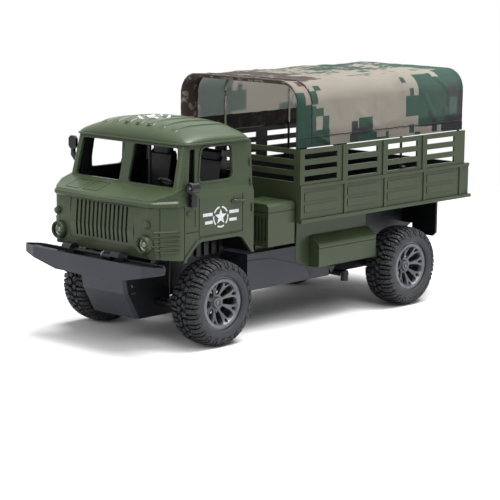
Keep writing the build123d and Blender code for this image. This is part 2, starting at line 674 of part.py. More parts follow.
def roof_form(inset, base_z):
    """Crown of the roof: full shoulders across, and a steeper fall to the front than to the rear."""
    half = top_half_width + 1 - inset
    crown = roof_crown_z - inset
    front = roof_front_x - inset
    rear = roof_rear_x + inset
    shoulder = half - 12
    across = chords((half, base_z + 2), (half - 4.5, crown - 7.4), (shoulder, crown - 3.6), 3)
    across += chords((shoulder, crown - 3.6), (0, crown), (-shoulder, crown - 3.6), rib_count)[1:]
    across += [(-y, z) for y, z in reversed(across[:3])]
    along = chords((front, base_z + 1.6), (front - 3.5, crown - 6.2), (front - 12, crown - 1.8), 3)
    along += chords((front - 12, crown - 1.8), ((front + rear) / 2, crown), (rear + 10, crown - 1.8), 3)[1:]
    with BuildPart() as form:
        with BuildSketch(Plane.YZ.offset(rear)):
            Polygon((half, base_z), *across, (-half, base_z), align=None)
        extrude(amount=front - rear)
        with BuildSketch(Plane.XZ):
            Polygon((front, base_z), *along, (rear, crown - 6), (rear, base_z), align=None)
        extrude(amount=half + 1, both=True, mode=Mode.INTERSECT)
    return form.part


# roof: a ribbed crown over a drip lip
roof_outer = roof_form(0, cab_top_z)
roof_inner = roof_form(roof_wall, cab_top_z - 1)
roof_middle_x = (roof_front_x + roof_rear_x) / 2
with BuildPart() as roof_ribs:
    add(roof_form(-rib_height, cab_top_z))
    with BuildSketch(Plane.XY.offset(cab_top_z)):
        with Locations((roof_middle_x - 1, 0)):
            with GridLocations(1, rib_pitch, 1, rib_count):
                Rectangle(roof_front_x - roof_rear_x - 14, rib_width)
    extrude(amount=20, mode=Mode.INTERSECT)
with BuildPart() as cab_roof:
    add(roof_outer)
    add(roof_ribs.part)
    with BuildSketch(Plane.XY.offset(cab_top_z)):
        with Locations((roof_middle_x, 0)):
            RectangleRounded(roof_front_x - roof_rear_x + 2 * roof_lip, 2 * (top_half_width + 1 + roof_lip),
                             6)
    extrude(amount=1.8)
    add(roof_inner, mode=Mode.SUBTRACT)
    # three marker lamps
    with BuildSketch(Plane.XY.offset(roof_crown_z - 5)):
        with Locations((front_axle_x + 16.5, 0)):
            with GridLocations(1, 11.5, 1, 3):
                RegularPolygon(radius=1.8, side_count=8)
    extrude(amount=3.6)
cab_roof.part.label = "cab_roof"
export_step(cab_roof.part, "parts/cab_roof.step")

# ================= inside the cab =================
cab_tub_rear_x = cab_rear_x + cab_wall + tub_clearance
with BuildPart() as cab_tub:
    # floor, over the chassis and the wheel arches
    with BuildSketch(Plane.XY.offset(tub_floor_z)):
        with BuildLine():
            Polyline((cab_tub_rear_x, -tub_half_width), (front_axle_x + 30, -tub_half_width),
                     (tub_front_x, -tub_half_width + 10), (tub_front_x, tub_half_width - 10),
                     (front_axle_x + 30, tub_half_width), (cab_tub_rear_x, tub_half_width), close=True)
        make_face()
    extrude(amount=tub_thickness)
    # engine cover between the seats
    with BuildSketch(Plane.XZ):
        with BuildLine():
            Polyline((front_axle_x - 30, tub_floor_z), (front_axle_x - 30, hump_top_z - 6),
                     (front_axle_x - 24, hump_top_z), (front_axle_x + 22, hump_top_z),
                     (front_axle_x + 40, tub_floor_z + 12), (front_axle_x + 40, tub_floor_z), close=True)
        make_face()
    extrude(amount=hump_half_width, both=True)
    # wall behind the grille
    with BuildSketch(Plane.YZ.offset(tub_front_x)):
        with Locations((0, (louvre_bottom_z + grille_top_z) / 2)):
            Rectangle(2 * grille_half_width + 8, grille_top_z - louvre_bottom_z)
    extrude(amount=-1.5)
    # posts that stand the tub on the chassis
    with BuildSketch(Plane.XY.offset(tub_floor_z)):
        with Locations((front_axle_x - 20, 0), (front_axle_x + 24, 0)):
            Rectangle(12, 2 * keel_half_width - 4)
    extrude(amount=keel_top_z - tub_floor_z)
cab_tub.part.label = "cab_tub"
export_step(cab_tub.part, "parts/cab_tub.step")

dash_half_width = tub_half_width - 0.6
with BuildPart() as dashboard:
    with BuildSketch(Plane.XZ):
        with BuildLine():
            Polyline((front_axle_x + 27.5, cowl_top_z - 3), (front_axle_x + 22, cowl_top_z - 4.5),
                     (front_axle_x + 20, cowl_top_z - 13), (front_axle_x + 25, cowl_top_z - 17),
                     (front_axle_x + 34, cowl_top_z - 17), (front_axle_x + 34, cowl_top_z - 9), close=True)
        make_face()
    extrude(amount=dash_half_width, both=True)
    # foot of the dashboard, on the engine cover
    with BuildSketch(Plane.XZ):
        with BuildLine():
            Polyline((front_axle_x + 24, cowl_top_z - 14), (front_axle_x + 12, hump_top_z),
                     (front_axle_x + 22, hump_top_z), (front_axle_x + 30, cowl_top_z - 14), close=True)
        make_face()
    extrude(amount=hump_half_width - 2, both=True)
    # trim that closes the quarter windows
    for side in (-1, 1):
        with BuildSketch(Plane.XZ.offset(-side * (dash_half_width - 1.5))):
            Polygon((front_axle_x + 14.5, cowl_top_z - 12), (front_axle_x + 15, window_top_z - 1),
                    (front_axle_x + 21.5, window_top_z - 1), (front_axle_x + 26, cowl_top_z - 2),
                    (front_axle_x + 26, cowl_top_z - 12), align=None)
        extrude(amount=-side * 1.5)
dashboard.part.label = "dashboard"
export_step(dashboard.part, "parts/dashboard.step")

for name, side in [("left", 1), ("right", -1)]:
    with BuildPart() as seat:
        with BuildSketch(Plane.XZ.offset(-side * seat_y)):
            Polygon((front_axle_x - 35, tub_floor_z + tub_thickness), (front_axle_x - 35, seat_top_z - 3),
                    (front_axle_x - 33.5, seat_top_z), (front_axle_x - 31, seat_top_z),
                    (front_axle_x - 29, seat_top_z - 3), (front_axle_x - 25, 102), (front_axle_x - 5, 103.5),
                    (front_axle_x - 3, 101.5), (front_axle_x - 3, 97), (front_axle_x - 10, 95),
                    (front_axle_x - 12, tub_floor_z + tub_thickness), align=None)
        extrude(amount=seat_width / 2, both=True)
    seat.part.label = f"seat_{name}"
    export_step(seat.part, f"parts/seat_{name}.step")

steering_wheel_plane = Plane(origin=(front_axle_x + 13, 28, 111.5), x_dir=(0, 1, 0), z_dir=(-0.6, 0, 0.8))
with BuildPart() as steering_wheel:
    with BuildSketch(steering_wheel_plane.offset(-0.9)):
        RegularPolygon(radius=wheel_rim_radius, side_count=16)
        RegularPolygon(radius=wheel_rim_radius - 1.8, side_count=16, mode=Mode.SUBTRACT)
        RegularPolygon(radius=2.2, side_count=8)
        with PolarLocations(0, 3, start_angle=90):
            with Locations((wheel_rim_radius / 2, 0)):
                Rectangle(wheel_rim_radius - 1, 1.4)
    extrude(amount=1.8)
    # column, down to the dashboard
    with BuildSketch(steering_wheel_plane.offset(-0.9)):
        RegularPolygon(radius=1.2, side_count=6)
    extrude(amount=-13)
    add(dashboard.part, mode=Mode.SUBTRACT)
steering_wheel.part.label = "steering_wheel"
export_step(steering_wheel.part, "parts/steering_wheel.step")

# ================= lamp and mirror on the cab's front pillars =================
with BuildPart() as spot_lamp:
    with BuildSketch(Plane.YZ.offset(lamp_x)):
        with Locations((lamp_y, lamp_z)):
            RegularPolygon(radius=lamp_radius, side_count=lamp_sides)
    extrude(amount=lamp_length)
    with BuildSketch(Plane.YZ.offset(lamp_x + lamp_length)):
        with Locations((lamp_y, lamp_z)):
            RegularPolygon(radius=lamp_radius - 0.9, side_count=lamp_sides)
    extrude(amount=-2.0, mode=Mode.SUBTRACT)
    # clamp block on the cab's side, and its post
    with BuildSketch(Plane.XZ.offset(-cab_half_width)):
        with Locations((lamp_x + 0.5, belt_z - 1)):
            Rectangle(5, 8)
        with Locations((lamp_x + 1.5, lamp_z - 4.5)):
            Rectangle(3.2, 5)
    extrude(amount=-3.0)
spot_lamp.part.label = "spot_lamp"
export_step(spot_lamp.part, "parts/spot_lamp.step")


def wall_y(z):
    """Half width of the leaning upper wall at a height."""
    lean = (upper_half_width - top_half_width) / (cab_top_z - shoulder_z)
    return upper_half_width - (z - shoulder_z) * lean


with BuildPart() as mirror_right:
    # head with broken corners, facing back
    with BuildSketch(Plane.YZ.offset(mirror_x)) as mirror_face:
        with Locations((-mirror_y, mirror_z)):
            Rectangle(8, 9.5)
        chamfer(mirror_face.vertices(), length=2)
    extrude(amount=mirror_thickness)
    # joint under the head, and the arm down to the pillar
    with BuildSketch(Plane.YZ.offset(mirror_x)):
        Polygon((-mirror_y - 1.3, mirror_z - 4), (-mirror_y + 1.3, mirror_z - 4), (-mirror_y + 1.5, 127.5),
                (-wall_y(124), 124), (-wall_y(119.5), 119.5), (-mirror_y - 1.5, 125.5), align=None)
    extrude(amount=mirror_thickness)
mirror_right.part.label = "mirror_right"
export_step(mirror_right.part, "parts/mirror_right.step")

# ================= boxes along the sides =================
louvre_box_inner_y = keel_half_width + 6
with BuildPart() as louvre_shape:
    with BuildSketch(Plane.YZ.offset(louvre_box_rear_x)):
        Polygon((louvre_box_inner_y, louvre_box_bottom_z), (box_half_width, louvre_box_bottom_z),
                (box_half_width, louvre_box_top_z - 2), (box_half_width - 2, louvre_box_top_z),
                (louvre_box_inner_y, louvre_box_top_z), align=None)
    extrude(amount=louvre_box_front_x - louvre_box_rear_x)
    # slots in the front
    with BuildSketch(Plane.YZ.offset(louvre_box_front_x)):
        with Locations((box_half_width - 8, (louvre_box_bottom_z + louvre_lid_z) / 2)):
            with GridLocations(3.4, 1, 4, 1):
                Rectangle(1.4, 18)
    extrude(amount=-0.8, mode=Mode.SUBTRACT)
    # line under the lid
    with BuildSketch(Plane.XY.offset(louvre_lid_z)):
        with Locations(((louvre_box_front_x + louvre_box_rear_x) / 2, box_half_width)):
            Rectangle(louvre_box_front_x - louvre_box_rear_x + 2, 2 * line_depth)
        with Locations((louvre_box_front_x, (box_half_width + louvre_box_inner_y) / 2)):
            Rectangle(2 * line_depth, box_half_width - louvre_box_inner_y)
    extrude(amount=line_width, mode=Mode.SUBTRACT)
    # foot on the chassis skirt
    with BuildSketch(Plane.XY.offset(louvre_box_bottom_z)):
        with Locations(((louvre_box_front_x + louvre_box_rear_x) / 2, keel_half_width + 13)):
            Rectangle(20, 14)
    extrude(amount=keel_top_z - louvre_box_bottom_z)
for name, side in [("left", 1), ("right", -1)]:
    with BuildPart() as louvre_box:
        add(louvre_shape.part if side > 0 else mirror(louvre_shape.part, about=Plane.XZ, mode=Mode.PRIVATE))
    louvre_box.part.label = f"louvre_box_{name}"
    export_step(louvre_box.part, f"parts/louvre_box_{name}.step")

with BuildPart() as tank_shape:
    with BuildSketch(Plane.YZ.offset(tank_rear_x)):
        Polygon((keel_half_width + seat_clearance, tank_bottom_z), (box_half_width - 1, tank_bottom_z),
                (box_half_width, tank_bottom_z + 1), (box_half_width, 57), (box_half_width - 1, 58.5),
                (box_half_width - 8, tank_top_z), (keel_half_width + seat_clearance, tank_top_z), align=None)
    extrude(amount=tank_front_x - tank_rear_x)
    # notch that leaves room for the end of the skirt
    with BuildSketch(Plane.XY.offset(tank_bottom_z - 1)):
        with BuildLine():
            Polyline((skirt_rear_x - 0.2, 0), (skirt_rear_x - 0.2, skirt_half_width + 0.2),
                     (tank_front_x + 1, skirt_half_width + 0.2), (tank_front_x + 1, 0), close=True)
        make_face()
    extrude(amount=30, mode=Mode.SUBTRACT)
    # seam of the lid
    with BuildSketch(Plane.XY.offset(tank_seam_z)):
        with Locations(((tank_front_x + tank_rear_x) / 2, box_half_width)):
            Rectangle(tank_front_x - tank_rear_x + 2, 2 * line_depth)
    extrude(amount=line_width, mode=Mode.SUBTRACT)
for name, side in [("left", 1), ("right", -1)]:
    with BuildPart() as storage_box:
        add(tank_shape.part if side > 0 else mirror(tank_shape.part, about=Plane.XZ, mode=Mode.PRIVATE))
    storage_box.part.label = f"storage_box_{name}"
    export_step(storage_box.part, f"parts/storage_box_{name}.step")

# ================= bed =================
with BuildPart() as bed_floor:
    with BuildSketch(Plane.XY.offset(bed_underside_z)):
        with BuildLine():
            Polyline((tail_x, -bed_ledge_half_width), (bed_front_x, -bed_ledge_half_width),
                     (bed_front_x, bed_ledge_half_width), (tail_x, bed_ledge_half_width), close=True)
        make_face()
    extrude(amount=bed_floor_thickness)
bed_floor.part.label = "bed_floor"
export_step(bed_floor.part, "parts/bed_floor.step")

# the board's outer skin, proud of the panel behind it
skin = 0.8
bay_fronts = [bed_front_x - 5.0] + [rear - post_lag for front, rear in post_ribs]
bay_rears = [front + post_lead for front, rear in post_ribs] + [rack_rear_x + rack_end_board]
bays = list(zip(bay_fronts, bay_rears))
board_posts = [bed_front_x - 1.5] + [front - 3.2 for front, rear in post_ribs] + [front_axle_x - 273.0]
with BuildPart() as side_shape:
    with BuildSketch(Plane.XZ.offset(-(board_half_width - board_thickness))):
        with Locations(((bed_rear_x + bed_front_x) / 2, (bed_floor_z + board_top_z) / 2)):
            Rectangle(bed_front_x - bed_rear_x, board_top_z - bed_floor_z)
    extrude(amount=-(board_thickness - skin))
    # top rail, a rib at each post, and two pressed fields in each bay
    with BuildSketch(Plane.XZ.offset(-(board_half_width - skin))):
        with Locations(((bed_rear_x + bed_front_x) / 2, board_top_z - 1.25)):
            Rectangle(bed_front_x - bed_rear_x, 2.5)
        for post_x in board_posts:
            with Locations((post_x, (bed_floor_z + board_top_z) / 2)):
                Rectangle(2.6, board_top_z - bed_floor_z)
    extrude(amount=-skin)
    with BuildSketch(Plane.XZ.offset(-(board_half_width - skin))):
        for bay_front, bay_rear in bays:
            for low, high in panel_rows:
                with Locations(((bay_front + bay_rear) / 2, (low + high) / 2)):
                    Rectangle(bay_front - bay_rear, high - low)
    extrude(amount=-skin / 2)
    # socket of the tailgate's hinge pin
    with BuildSketch(Plane.XZ.offset(-(board_half_width - board_thickness))):
        with Locations((hinge_x, hinge_z)):
            Circle(pin_radius + running_clearance)
    extrude(amount=-board_thickness, mode=Mode.SUBTRACT)
for name, side in [("left", 1), ("right", -1)]:
    with BuildPart() as bed_side:
        add(side_shape.part if side > 0 else mirror(side_shape.part, about=Plane.XZ, mode=Mode.PRIVATE))
    bed_side.part.label = f"bed_side_{name}"
    export_step(bed_side.part, f"parts/bed_side_{name}.step")

front_board_thickness = 2.2
with BuildPart() as bed_front_board:
    with BuildSketch(Plane.YZ.offset(bed_front_x - front_board_thickness)):
        with Locations((0, (bed_floor_z + rack_top_z) / 2)):
            Rectangle(2 * rack_inner_y, rack_top_z - bed_floor_z)
        for low, high in rack_slots:
            with Locations((-rack_inner_y / 2, (low + high) / 2), (rack_inner_y / 2, (low + high) / 2)):
                Rectangle(rack_inner_y - 9, high - low, mode=Mode.SUBTRACT)
    extrude(amount=front_board_thickness)
bed_front_board.part.label = "bed_front_board"
export_step(bed_front_board.part, "parts/bed_front_board.step")

bow_half_width = canopy_half_width - canopy_wall - bow_radius - 0.2
bow_xs = [bed_front_x - 3.6, front_axle_x - 130, front_axle_x - 204, rack_rear_x + 3]
clip_reach = rack_inner_y - bow_half_width - bow_radius - 0.1
with BuildPart() as rack_shape:
    with BuildSketch(Plane.XZ.offset(-rack_inner_y)):
        with Locations(((rack_rear_x + bed_front_x) / 2, (board_top_z + rack_top_z) / 2)):
            Rectangle(bed_front_x - rack_rear_x, rack_top_z - board_top_z)
        for bay_front, bay_rear in bays:
            for low, high in rack_slots:
                with Locations(((bay_front + bay_rear) / 2, (low + high) / 2)):
                    Rectangle(bay_front - bay_rear, high - low, mode=Mode.SUBTRACT)
    extrude(amount=-rack_thickness)
    # ribs up the posts
    with BuildSketch(Plane.XZ.offset(-rack_outer_y)):
        for rib_front, rib_rear in post_ribs:
            with Locations(((rib_front + rib_rear) / 2, (board_top_z + rack_top_z) / 2)):
                Rectangle(rib_front - rib_rear, rack_top_z - board_top_z)
    extrude(amount=-skin)
    # clips that hold the legs of the bows
    with BuildSketch(Plane.XY.offset(board_top_z)):
        for bow_x in bow_xs[1:]:
            with Locations((bow_x, rack_inner_y - clip_reach / 2)):
                Rectangle(4, clip_reach)
    extrude(amount=4)
for name, side in [("left", 1), ("right", -1)]:
    with BuildPart() as rack:
        add(rack_shape.part if side > 0 else mirror(rack_shape.part, about=Plane.XZ, mode=Mode.PRIVATE))
    rack.part.label = f"rack_{name}"
    export_step(rack.part, f"parts/rack_{name}.step")

# tailgate, swinging on two pins in the side boards
tailgate_half_width = board_half_width - board_thickness - 0.6
pin_reach = board_half_width - 0.6
with BuildPart() as tailgate:
    with BuildSketch(Plane.YZ.offset(hinge_x - tailgate_thickness / 2)):
        with Locations((0, (hinge_z + board_top_z) / 2)):
            Rectangle(2 * tailgate_half_width, board_top_z - hinge_z)
    extrude(amount=tailgate_thickness)
    # pressed fields on its outer face
    with BuildSketch(Plane.YZ.offset(hinge_x - tailgate_thickness / 2)):
        for low, high in panel_rows:
            with Locations((0, (low + high) / 2)):
                with GridLocations(2 * tailgate_half_width / 3, 1, 3, 1):
                    Rectangle(2 * tailgate_half_width / 3 - 6, high - low)
    extrude(amount=-skin / 2)
    # barrel and pins
    with BuildSketch(Plane.XZ.offset(-tailgate_half_width)):
        with Locations((hinge_x, hinge_z)):
            RegularPolygon(radius=1.8, side_count=8)
    extrude(amount=2 * tailgate_half_width)
    with BuildSketch(Plane.XZ.offset(-pin_reach)):
        with Locations((hinge_x, hinge_z)):
            Circle(pin_radius)
    extrude(amount=2 * pin_reach)
tailgate.part.label = "tailgate"
export_step(tailgate.part, "parts/tailgate.step")

flap_bottom_z = 48.0
flap_width = 24.0
flap_y = 46.0
with BuildPart() as mud_flaps:
    with BuildSketch(Plane.YZ.offset(front_axle_x - 251)) as flap_faces:
        with Locations((0, (flap_bottom_z + bed_underside_z) / 2)):
            with GridLocations(2 * flap_y, 1, 2, 1):
                Rectangle(flap_width, bed_underside_z - flap_bottom_z)
        chamfer(flap_faces.vertices().group_by(Axis.Y)[0], length=2.9)
    extrude(amount=-2)
mud_flaps.part.label = "mud_flaps"
export_step(mud_flaps.part, "parts/mud_flaps.step")

# ================= canopy and its bows =================
bow_foot_z = board_top_z - 8
bow_top_z = canopy_top_z - canopy_wall - bow_radius - 0.4
bow_bend = canopy_corner_radius
bow_middle = bow_bend * (1 - cos(radians(45)))
bow_corner = chords((bow_half_width, bow_top_z - bow_bend),
                    (bow_half_width - bow_middle, bow_top_z - bow_middle),
                    (bow_half_width - bow_bend, bow_top_z), 4)
bow_line = [(bow_half_width, bow_foot_z)] + bow_corner
bow_line += [(-y, z) for y, z in reversed(bow_line)]
with BuildPart() as canopy_bows:
    for bow_x in bow_xs:
        with BuildLine(Plane.YZ.offset(bow_x)):
            Polyline(*bow_line)
        with BuildSketch(Plane(origin=(bow_x, bow_half_width, bow_foot_z), z_dir=(0, 0, 1))):
            RegularPolygon(radius=bow_radius, side_count=6)
        sweep(transition=Transition.RIGHT)
canopy_bows.part.label = "canopy_bows"
export_step(canopy_bows.part, "parts/canopy_bows.step")

with BuildPart() as canopy:
    with BuildSketch(Plane.YZ.offset(rack_rear_x)):
        for inset, kind in ((0, Mode.ADD), (canopy_wall, Mode.SUBTRACT)):
            half = canopy_half_width - inset
            top = canopy_top_z - inset
            corner_radius = canopy_corner_radius - inset
            with BuildLine():
                FilletPolyline((-half, canopy_bottom_z - inset), (-half, top), (half, top),
                               (half, canopy_bottom_z - inset), radius=corner_radius)
                Line((half, canopy_bottom_z - inset), (-half, canopy_bottom_z - inset))
            make_face(mode=kind)
    extrude(amount=bed_front_x - rack_rear_x)
canopy.part.label = "canopy"
export_step(canopy.part, "parts/canopy.step")

# ================= axles and steering =================
def outwards(axle_x, side, y):
    """Plane across an axle's end at a distance from the middle, facing outwards."""
    return Plane(origin=(axle_x, side * y, axle_z), x_dir=(1, 0, 0), z_dir=(0, side, 0))


ear_gap = 15.4              # between a carrier's two ears
ear_thickness = 3.2
ear_end = 3.6               # of each ear beyond the kingpin
carrier_y = 32.0
stub_tip_y = track / 2 + stub_end_y - 0.4
with BuildPart() as front_axle:
    for side in (-1, 1):
        with BuildSketch(outwards(front_axle_x, side, keel_half_width)):
            RegularPolygon(radius=4.2, side_count=8)
        extrude(amount=carrier_y - keel_half_width)
        with BuildSketch(outwards(front_axle_x, side, carrier_y)):
            Rectangle(8, ear_gap + 2 * ear_thickness)
        extrude(amount=1.4)
        for level in (-1, 1):
            with BuildSketch(Plane.XY.offset(axle_z + level * (ear_gap + ear_thickness) / 2)):
                with Locations((front_axle_x, side * (kingpin_y + ear_end + carrier_y) / 2)):
                    Rectangle(8, kingpin_y + ear_end - carrier_y)
                with Locations((front_axle_x, side * kingpin_y)):
                    Circle(kingpin_radius + running_clearance, mode=Mode.SUBTRACT)
            extrude(amount=ear_thickness / 2, both=True)
front_axle.part.label = "front_axle"
export_step(front_axle.part, "parts/front_axle.step")

with BuildPart() as rear_axle:
    for side in (-1, 1):
        with BuildSketch(outwards(rear_axle_x, side, keel_half_width)):
            RegularPolygon(radius=5.2, side_count=8)
        extrude(amount=track / 2 - half_tyre - keel_half_width)
        with BuildSketch(outwards(rear_axle_x, side, keel_half_width)):
            Circle(stub_radius)
        extrude(amount=stub_tip_y - keel_half_width)
rear_axle.part.label = "rear_axle"
export_step(rear_axle.part, "parts/rear_axle.step")

arm_z = tie_rod_z + tie_rod_thickness / 2 + 0.2
arm_thickness = 2.2
for name, side in [("left", 1), ("right", -1)]:
    out = outwards(front_axle_x, side, kingpin_y)
    with BuildPart() as knuckle:
        with BuildSketch(Plane.XY.offset(axle_z)):
            with Locations((front_axle_x, side * kingpin_y)):
                RegularPolygon(radius=3.6, side_count=8)
        extrude(amount=ear_gap / 2 - 0.2, both=True)
        with BuildSketch(Plane.XY.offset(axle_z)):
            with Locations((front_axle_x, side * kingpin_y)):
                Circle(kingpin_radius)
        extrude(amount=ear_gap / 2 + ear_thickness, both=True)
        with BuildSketch(out):
            RegularPolygon(radius=4.4, side_count=8)
        extrude(amount=track / 2 - half_tyre - kingpin_y - 0.2)
        with BuildSketch(out):
            Circle(stub_radius)
        extrude(amount=stub_tip_y - kingpin_y)
        # arm forwards to the tie rod, and its pin with a head
        with BuildSketch(Plane.XY.offset(arm_z)):
            with Locations((front_axle_x + steer_arm / 2 + 1, side * kingpin_y)):
                Rectangle(steer_arm + 2, 4)
        extrude(amount=arm_thickness)
        with BuildSketch(Plane.XY.offset(arm_z + arm_thickness)):
            with Locations((front_axle_x + steer_arm, side * kingpin_y)):
                RegularPolygon(radius=1.8, side_count=8)
        extrude(amount=1.6)
        with BuildSketch(Plane.XY.offset(tie_rod_z - tie_rod_thickness / 2)):
            with Locations((front_axle_x + steer_arm, side * kingpin_y)):
                Circle(arm_pin_radius)
        extrude(amount=tie_rod_thickness + 0.4)
    knuckle.part.label = f"knuckle_{name}"
    export_step(knuckle.part, f"parts/knuckle_{name}.step")

# the rod slides straight across, so its eyes are slots that take up the swing of the arms
arm_swing = steer_arm * (1 - cos(radians(steer_angle)))
eye_x = front_axle_x + steer_arm - arm_swing / 2
with BuildPart() as tie_rod:
    with BuildSketch(Plane.XY.offset(tie_rod_z)):
        with Locations((front_axle_x + steer_arm, 0)):
            Rectangle(tie_rod_width, 2 * kingpin_y)
        for side in (-1, 1):
            with Locations((eye_x, side * kingpin_y)):
                Rectangle(arm_swing + 2 * arm_pin_radius + 3.4, tie_rod_eye)
                Rectangle(arm_swing + 2 * arm_pin_radius + 0.3, 2 * arm_pin_radius + 0.2, mode=Mode.SUBTRACT)
    extrude(amount=tie_rod_thickness / 2, both=True)
tie_rod.part.label = "tie_rod"
export_step(tie_rod.part, "parts/tie_rod.step")

with BuildPart() as battery_cover:
    with BuildSketch(Plane.XY.offset(skirt_bottom_z - 6)):
        with Locations(((skirt_front_x + skirt_rear_x) / 2, 0)):
            Rectangle(70, 2 * keel_half_width - 6)
    extrude(amount=-1.6)
battery_cover.part.label = "battery_cover"
export_step(battery_cover.part, "parts/battery_cover.step")
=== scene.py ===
"""Looks of the toy cargo truck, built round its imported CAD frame. Metres; +X front, +Y left, +Z up."""
import json
from math import asin, cos, pi, radians, sin, sqrt
from random import Random

import bmesh
import bpy
from mathutils import Matrix, Vector, noise
from mathutils.bvhtree import BVHTree


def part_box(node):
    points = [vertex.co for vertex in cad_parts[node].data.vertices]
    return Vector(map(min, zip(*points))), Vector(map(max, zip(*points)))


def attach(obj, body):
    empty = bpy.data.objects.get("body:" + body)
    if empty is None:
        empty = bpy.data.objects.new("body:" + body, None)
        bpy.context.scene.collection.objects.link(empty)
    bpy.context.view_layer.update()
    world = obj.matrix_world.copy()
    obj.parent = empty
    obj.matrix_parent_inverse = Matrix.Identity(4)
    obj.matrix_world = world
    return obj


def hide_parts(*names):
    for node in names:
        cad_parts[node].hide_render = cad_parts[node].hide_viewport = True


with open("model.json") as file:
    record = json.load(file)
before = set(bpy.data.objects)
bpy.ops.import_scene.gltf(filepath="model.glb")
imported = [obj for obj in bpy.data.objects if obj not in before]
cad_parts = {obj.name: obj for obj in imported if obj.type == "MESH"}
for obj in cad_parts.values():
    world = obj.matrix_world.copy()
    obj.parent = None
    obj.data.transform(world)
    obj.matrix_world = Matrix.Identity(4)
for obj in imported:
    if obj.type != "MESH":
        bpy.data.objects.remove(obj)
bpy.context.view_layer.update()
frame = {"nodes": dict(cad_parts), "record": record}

MM = 0.001
front_axle_x = sum(corner[0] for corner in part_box("tyre_front_left")) / 2
rear_axle_x = sum(corner[0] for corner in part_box("tyre_rear_left")) / 2
axle_z = sum(corner[2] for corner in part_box("tyre_front_left")) / 2
corners = ["front_left", "front_right", "rear_left", "rear_right"]


def at(x, y, z):
    """Place in the part's frame from millimetres ahead of the front axle, to the left and up."""
    return Vector((front_axle_x + x * MM, y * MM, z * MM))


def flat(x, y):
    """The same place as a pair, for an outline."""
    return at(x, y, 0).xy[:]


def link(obj):
    bpy.context.collection.objects.link(obj)
    return obj


# ================= camera: the photograph's =================
focal_px = 1818.82
frame_px = 500
optical_centre = (247.51, 248.22)
azimuth, elevation, roll = radians(133.79), radians(9.99), radians(0.5)
eye = at(885.12, 939.84, 289.04)
back = Vector((sin(azimuth) * cos(elevation), -cos(azimuth) * cos(elevation), sin(elevation)))
right = Vector((cos(azimuth), sin(azimuth), 0))
up = back.cross(right)
rolled_right = right * cos(roll) + up * sin(roll)
rolled_up = up * cos(roll) - right * sin(roll)
camera_data = bpy.data.cameras.new("camera")
camera_data.sensor_width = 36
camera_data.lens = 36 * focal_px / frame_px
camera_data.shift_x = (frame_px / 2 - optical_centre[0]) / frame_px
camera_data.shift_y = (optical_centre[1] - frame_px / 2) / frame_px
camera_data.clip_start = 0.01
camera = link(bpy.data.objects.new("camera", camera_data))
camera.matrix_world = Matrix((
    (rolled_right.x, rolled_up.x, back.x, eye.x),
    (rolled_right.y, rolled_up.y, back.y, eye.y),
    (rolled_right.z, rolled_up.z, back.z, eye.z),
    (0, 0, 0, 1)))
bpy.context.scene.camera = camera
bpy.context.scene.view_settings.view_transform = "Standard"


# ================= materials =================
def linear(red, green, blue):
    """Colour for a shader from display values of 0 to 255."""
    return tuple((v / 255 / 12.92) if v < 10.3 else ((v / 255 + 0.055) / 1.055) ** 2.4
                 for v in (red, green, blue)) + (1,)


class Tree:
    """A node tree with short ways to add and join its nodes."""

    def __init__(self, owner):
        owner.use_nodes = True
        self.nodes = owner.node_tree.nodes
        self.links = owner.node_tree.links

    def join(self, output, node, socket):
        if hasattr(output, "is_output"):
            self.links.new(output, node.inputs[socket])
        else:
            node.inputs[socket].default_value = output

    def node(self, kind, inputs=None, **settings):
        made = self.nodes.new("ShaderNode" + kind)
        for key, value in settings.items():
            setattr(made, key, value)
        for socket, value in (inputs or {}).items():
            self.join(value, made, socket)
        return made

    def math(self, operation, *values):
        return self.node("Math", dict(enumerate(values)), operation=operation).outputs[0]

    def plus(self, first, second):
        return self.math("ADD", first, second)

    def minus(self, first, second):
        return self.math("SUBTRACT", first, second)

    def times(self, *values):
        result = values[0]
        for value in values[1:]:
            result = self.math("MULTIPLY", result, value)
        return result

    def over(self, first, second):
        return self.math("GREATER_THAN", first, second)

    def under(self, first, second):
        return self.math("LESS_THAN", first, second)

    def most(self, first, second):
        return self.math("MAXIMUM", first, second)

    def size(self, value):
        return self.math("ABSOLUTE", value)

    def seen_rays(self):
        """1 for rays of the camera, of mirror-like surfaces and through glass."""
        ray = self.node("LightPath").outputs
        return self.most(self.most(ray["Is Camera Ray"], ray["Is Glossy Ray"]), ray["Is Transmission Ray"])


class Shader(Tree):
    """A principled material."""

    def __init__(self, name):
        self.material = bpy.data.materials.new(name)
        super().__init__(self.material)
        self.surface = self.nodes["Principled BSDF"]

    def set(self, **inputs):
        for socket, value in inputs.items():
            self.join(value, self.surface, socket.replace("_", " "))

    def place(self):
        """Coordinates in the part's frame, which the piece keeps as its own."""
        return self.node("TexCoord").outputs["Object"]

    def vector(self, operation, first, second):
        return self.node("VectorMath", {0: first, 1: second}, operation=operation).outputs[0]

    def noise(self, vector, scale, detail=4.0, roughness=0.55):
        made = self.node("TexNoise", {"Vector": vector, "Scale": scale, "Detail": detail, "Roughness": roughness})
        return made.outputs[0]

    def wandering(self, vector, scale, start, end):
        """Slow noise brought between two ends."""
        return self.between(self.noise(vector, scale), 0.3, 0.7, start, end)

    def split(self, vector):
        return self.node("SeparateXYZ", {0: vector}).outputs

    def between(self, value, low, high, start=0.0, end=1.0):
        return self.node("MapRange", {"Value": value, "From Min": low, "From Max": high, "To Min": start,
                                      "To Max": end}).outputs[0]

    def mix(self, factor, first, second):
        made = self.node("Mix", data_type="RGBA")
        self.join(factor, made, 0)
        self.join(first, made, 6)
        self.join(second, made, 7)
        return made.outputs[2]

    def relief(self, height, distance, normal=None, strength=1.0):
        made = self.node("Bump", {"Height": height, "Distance": distance, "Strength": strength})
        if normal is not None:
            self.join(normal, made, "Normal")
        return made.outputs[0]


